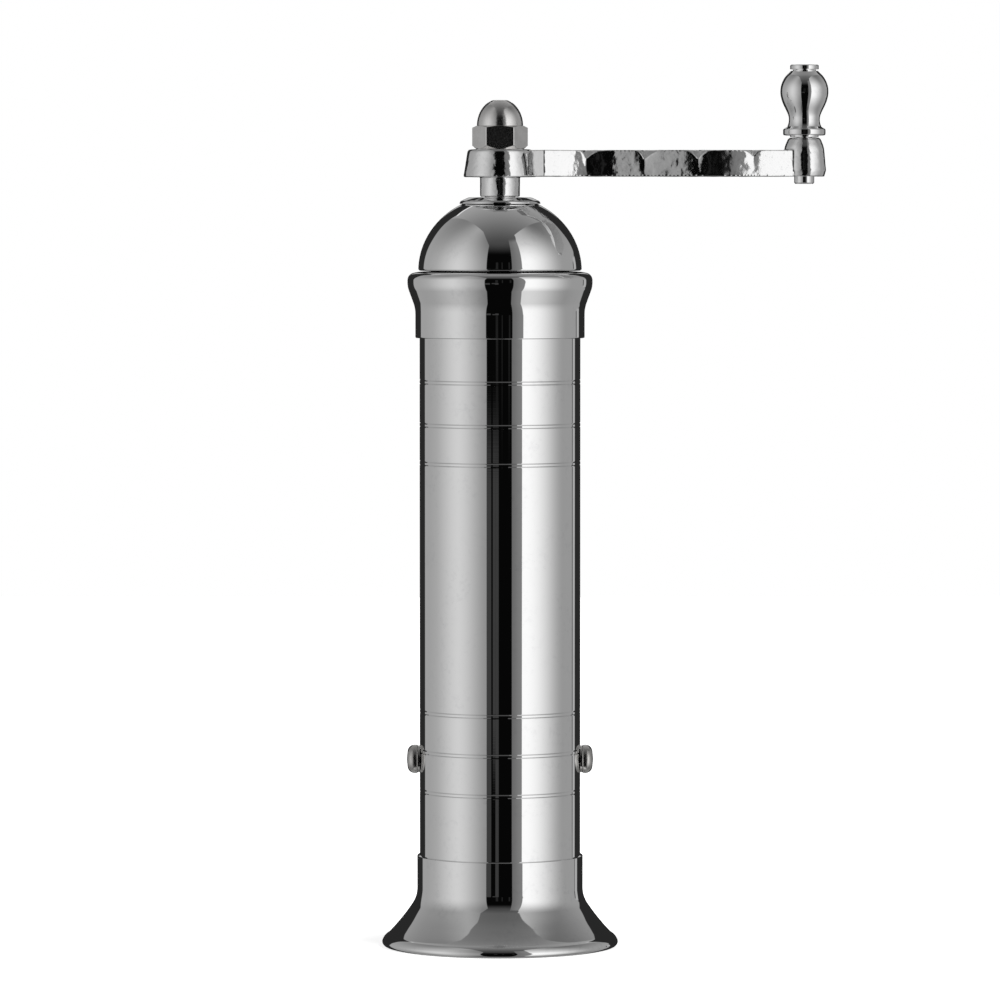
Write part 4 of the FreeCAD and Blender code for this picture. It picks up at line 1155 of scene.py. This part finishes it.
def studio_light(nodes, direction):
    """Two soft boxes, black flags before and behind, and a grey ceiling."""
    parts = nodes.add("SeparateXYZ", Vector=direction)
    x = parts.outputs["X"]
    y = parts.outputs["Y"]
    z = parts.outputs["Z"]
    front = nodes.math("MULTIPLY", y, -1.0)
    side = nodes.math("ABSOLUTE", x)
    tall = nodes.math("ABSOLUTE", z)
    bearing = nodes.math("DEGREES", nodes.math("ARCTAN2", x, front))
    height = nodes.math("DEGREES", nodes.math("ARCSINE", tall))
    rise = nodes.math("DEGREES", nodes.math("ARCSINE", z))
    level = nodes.math("MULTIPLY_ADD", y, *CEILING[:2])
    level = nodes.math("MAXIMUM", level, CEILING[2])

    # Left soft box: brightest in its middle
    slant, lean = [
        nodes.math("MULTIPLY_ADD", front, along, nodes.math("MULTIPLY", side, out))
        for along, out in LEFT_BOX_TOP
    ]
    room = nodes.math("SUBTRACT", nodes.math("MINIMUM", slant, lean), tall)
    left_end = nodes.step(height, *LEFT_BOX_FAR)
    past_end = nodes.step(nodes.math("SUBTRACT", bearing, left_end), -EDGE_BLUR, EDGE_BLUR)
    before_near = nodes.step(bearing, *LEFT_BOX_NEAR)
    mask = nodes.times(past_end, before_near, nodes.step(room, -ROOM_BLUR, ROOM_BLUR))
    to_front = nodes.step(bearing, *LEFT_GLOW_FRONT)
    to_back = nodes.step(bearing, *LEFT_GLOW_BACK)
    to_back = nodes.math("ADD", to_back, nodes.step(bearing, *LEFT_GLOW_END))
    glow = nodes.math("MINIMUM", to_front, to_back)
    level = nodes.blend(mask, level, nodes.times(glow, nodes.step(height, *LEFT_GLOW_FALL)))

    # Right soft box: white at its near edge, fading to the back
    along, out = RIGHT_BOX_TOP
    slant = nodes.math("MULTIPLY_ADD", front, along, nodes.math("MULTIPLY", x, out))
    room = nodes.math("SUBTRACT", slant, tall)
    edge, right_end = [
        nodes.math("ADD", nodes.step(height, *first), nodes.step(height, *second))
        for first, second in (RIGHT_BOX_NEAR, RIGHT_BOX_FAR)
    ]
    past_edge = nodes.step(nodes.math("SUBTRACT", bearing, edge), -EDGE_BLUR, EDGE_BLUR)
    before_end = nodes.step(nodes.math("SUBTRACT", right_end, bearing), -EDGE_BLUR, EDGE_BLUR)
    mask = nodes.times(past_edge, before_end, nodes.step(room, -ROOM_BLUR, ROOM_BLUR))
    glow = nodes.times(nodes.step(bearing, *RIGHT_GLOW), nodes.step(height, *RIGHT_GLOW_FALL))
    level = nodes.blend(mask, level, glow)

    # Grey card beside the camera, and the dark gap where the camera stands, with its faint streaks
    mask = nodes.times(nodes.window(bearing, *CARD), nodes.step(height, *CARD_TOP))
    level = nodes.blend(mask, level, nodes.step(bearing, *CARD_LEVEL))
    open_up = nodes.step(rise, *GAP_TOP)
    open_down = nodes.step(rise, *GAP_BOTTOM)
    level = nodes.blend(nodes.times(open_up, open_down, nodes.window(bearing, *GAP)), level, GAP_LEVEL)
    for place, start, end, brightness in STREAKS:
        mask = nodes.times(nodes.step(rise, *start), nodes.step(rise, *end), nodes.window(bearing, *place))
        level = nodes.blend(mask, level, brightness)

    # Black flags behind, a line of light where the right one ends, a bright brim above and a grey back
    before_left = nodes.math("SUBTRACT", 1.0, past_end)
    after_right = nodes.math("SUBTRACT", 1.0, before_end)
    behind = nodes.blend(nodes.step(bearing, 0, 1), before_left, after_right)
    flagged = nodes.step(height, *FLAG_TOP)
    level = nodes.blend(nodes.times(behind, flagged), level, FLAG_LEVEL)
    line = nodes.times(nodes.window(bearing, *LINE), nodes.step(height, *LINE_TOP))
    level = nodes.blend(line, level, LINE_LEVEL)
    from_front = nodes.math("ABSOLUTE", bearing)
    brim = nodes.times(nodes.window(rise, *BRIM), nodes.step(from_front, *BRIM_START))
    level = nodes.blend(brim, level, BRIM_LEVEL)
    back = nodes.times(nodes.step(from_front, *BACK_START), flagged, nodes.step(rise, *BACK_RISE))
    return nodes.blend(back, level, BACK_LEVEL)


def make_world():
    """White to the camera; for everything else the studio's boxes, flags and cards."""
    world = bpy.data.worlds.new("studio")
    bpy.context.scene.world = world
    world.use_nodes = True
    nodes = Nodes(world.node_tree)
    direction = nodes.add("TexCoord").outputs["Generated"]
    studio = nodes.add("Background", Color=(1, 1, 1, 1), Strength=studio_light(nodes, direction))
    white = nodes.add("Background", Color=(1, 1, 1, 1), Strength=1.0)
    path = nodes.add("LightPath")
    plain = nodes.math("MAXIMUM", path.outputs["Is Camera Ray"], path.outputs["Is Transmission Ray"])
    mix = nodes.add("MixShader")
    nodes.put(mix.inputs[0], plain)
    nodes.put(mix.inputs[1], studio.outputs[0])
    nodes.put(mix.inputs[2], white.outputs[0])
    output = nodes.add("OutputWorld")
    nodes.put(output.inputs["Surface"], mix.outputs[0])


# Each lamp's place and size in metres, and its power in watts
LAMPS = (
    ((0.7, -0.6, 0.9), 0.5, 8.0),
    ((-0.8, -0.5, 0.7), 0.6, 5.0),
)
LAMP_AIM_HEIGHT = 0.1


def make_lamps():
    """Soft lamps that light matt surfaces and cast the shadow on the floor."""
    for place, size, power in LAMPS:
        data = bpy.data.lights.new("lamp", "AREA")
        data.shape = "DISK"
        data.size = size
        data.energy = power
        lamp = bpy.data.objects.new("lamp", data)
        bpy.context.scene.collection.objects.link(lamp)
        lamp.location = place
        aim = Vector((0, 0, LAMP_AIM_HEIGHT)) - lamp.location
        lamp.rotation_euler = aim.to_track_quat("-Z", "Y").to_euler()
        lamp.visible_glossy = False


FLOOR_HALF = 1.5
# Painted light: the floor's glow rises from 0.55 at 0.031 m from the middle to 1.0 at 0.062 m, covering the
# object's shadow further out
FLOOR_PAINTED_GLOW = (0.031, 0.062, 0.55, 1.0)


def make_floor():
    """A white floor with a painted glow, seen only by the camera. The glow is weaker near the foot and full
    beyond about 6 cm, where it paints over the object's shadow, so only the shadow near the foot stays. It
    is clear from below, and the metal sees the studio in it.
    """
    material, nodes, place = new_material("floor")
    spread = nodes.add("VectorMath")
    spread.operation = "LENGTH"
    nodes.put(spread.inputs[0], place)
    path = nodes.add("LightPath")
    seen = path.outputs["Is Camera Ray"]
    # Painted light round the object: a camera-only glow, weaker near the foot and full further out, hides
    # the object's shadow away from the foot
    lift = nodes.step(spread.outputs["Value"], *FLOOR_PAINTED_GLOW)
    matt = nodes.add("BsdfDiffuse", Color=(0.8, 0.8, 0.8, 1))
    glow = nodes.add("Emission", Color=(1, 1, 1, 1), Strength=nodes.math("MULTIPLY", lift, seen))
    surface = nodes.add("AddShader")
    nodes.put(surface.inputs[0], matt.outputs[0])
    nodes.put(surface.inputs[1], glow.outputs[0])
    clear = nodes.add("BsdfTransparent", Color=(1, 1, 1, 1))
    below = nodes.math("MULTIPLY", nodes.add("NewGeometry").outputs["Backfacing"], seen)
    mix = nodes.add("MixShader")
    nodes.put(mix.inputs[0], below)
    nodes.put(mix.inputs[1], surface.outputs[0])
    nodes.put(mix.inputs[2], clear.outputs[0])
    close_material(nodes, mix)
    mesh = bpy.data.meshes.new("floor")
    corners = [(x, y, 0) for x, y in box_corners(FLOOR_HALF, FLOOR_HALF)]
    mesh.from_pydata(corners, [], [[0, 1, 2, 3]])
    mesh.materials.append(material)
    floor = bpy.data.objects.new("floor", mesh)
    bpy.context.scene.collection.objects.link(floor)
    floor.visible_glossy = False


make_tube()
make_foot()
make_collar()
make_dome()
make_bush()
make_shaft()
make_crank()
make_cap_nut()
make_bush_nut()
make_knob()
make_knob_pin()
make_side_screws()
make_spring()
dress_cad_nodes()
make_camera()
make_world()
make_lamps()
make_floor()
bpy.context.scene.view_settings.view_transform = "Standard"
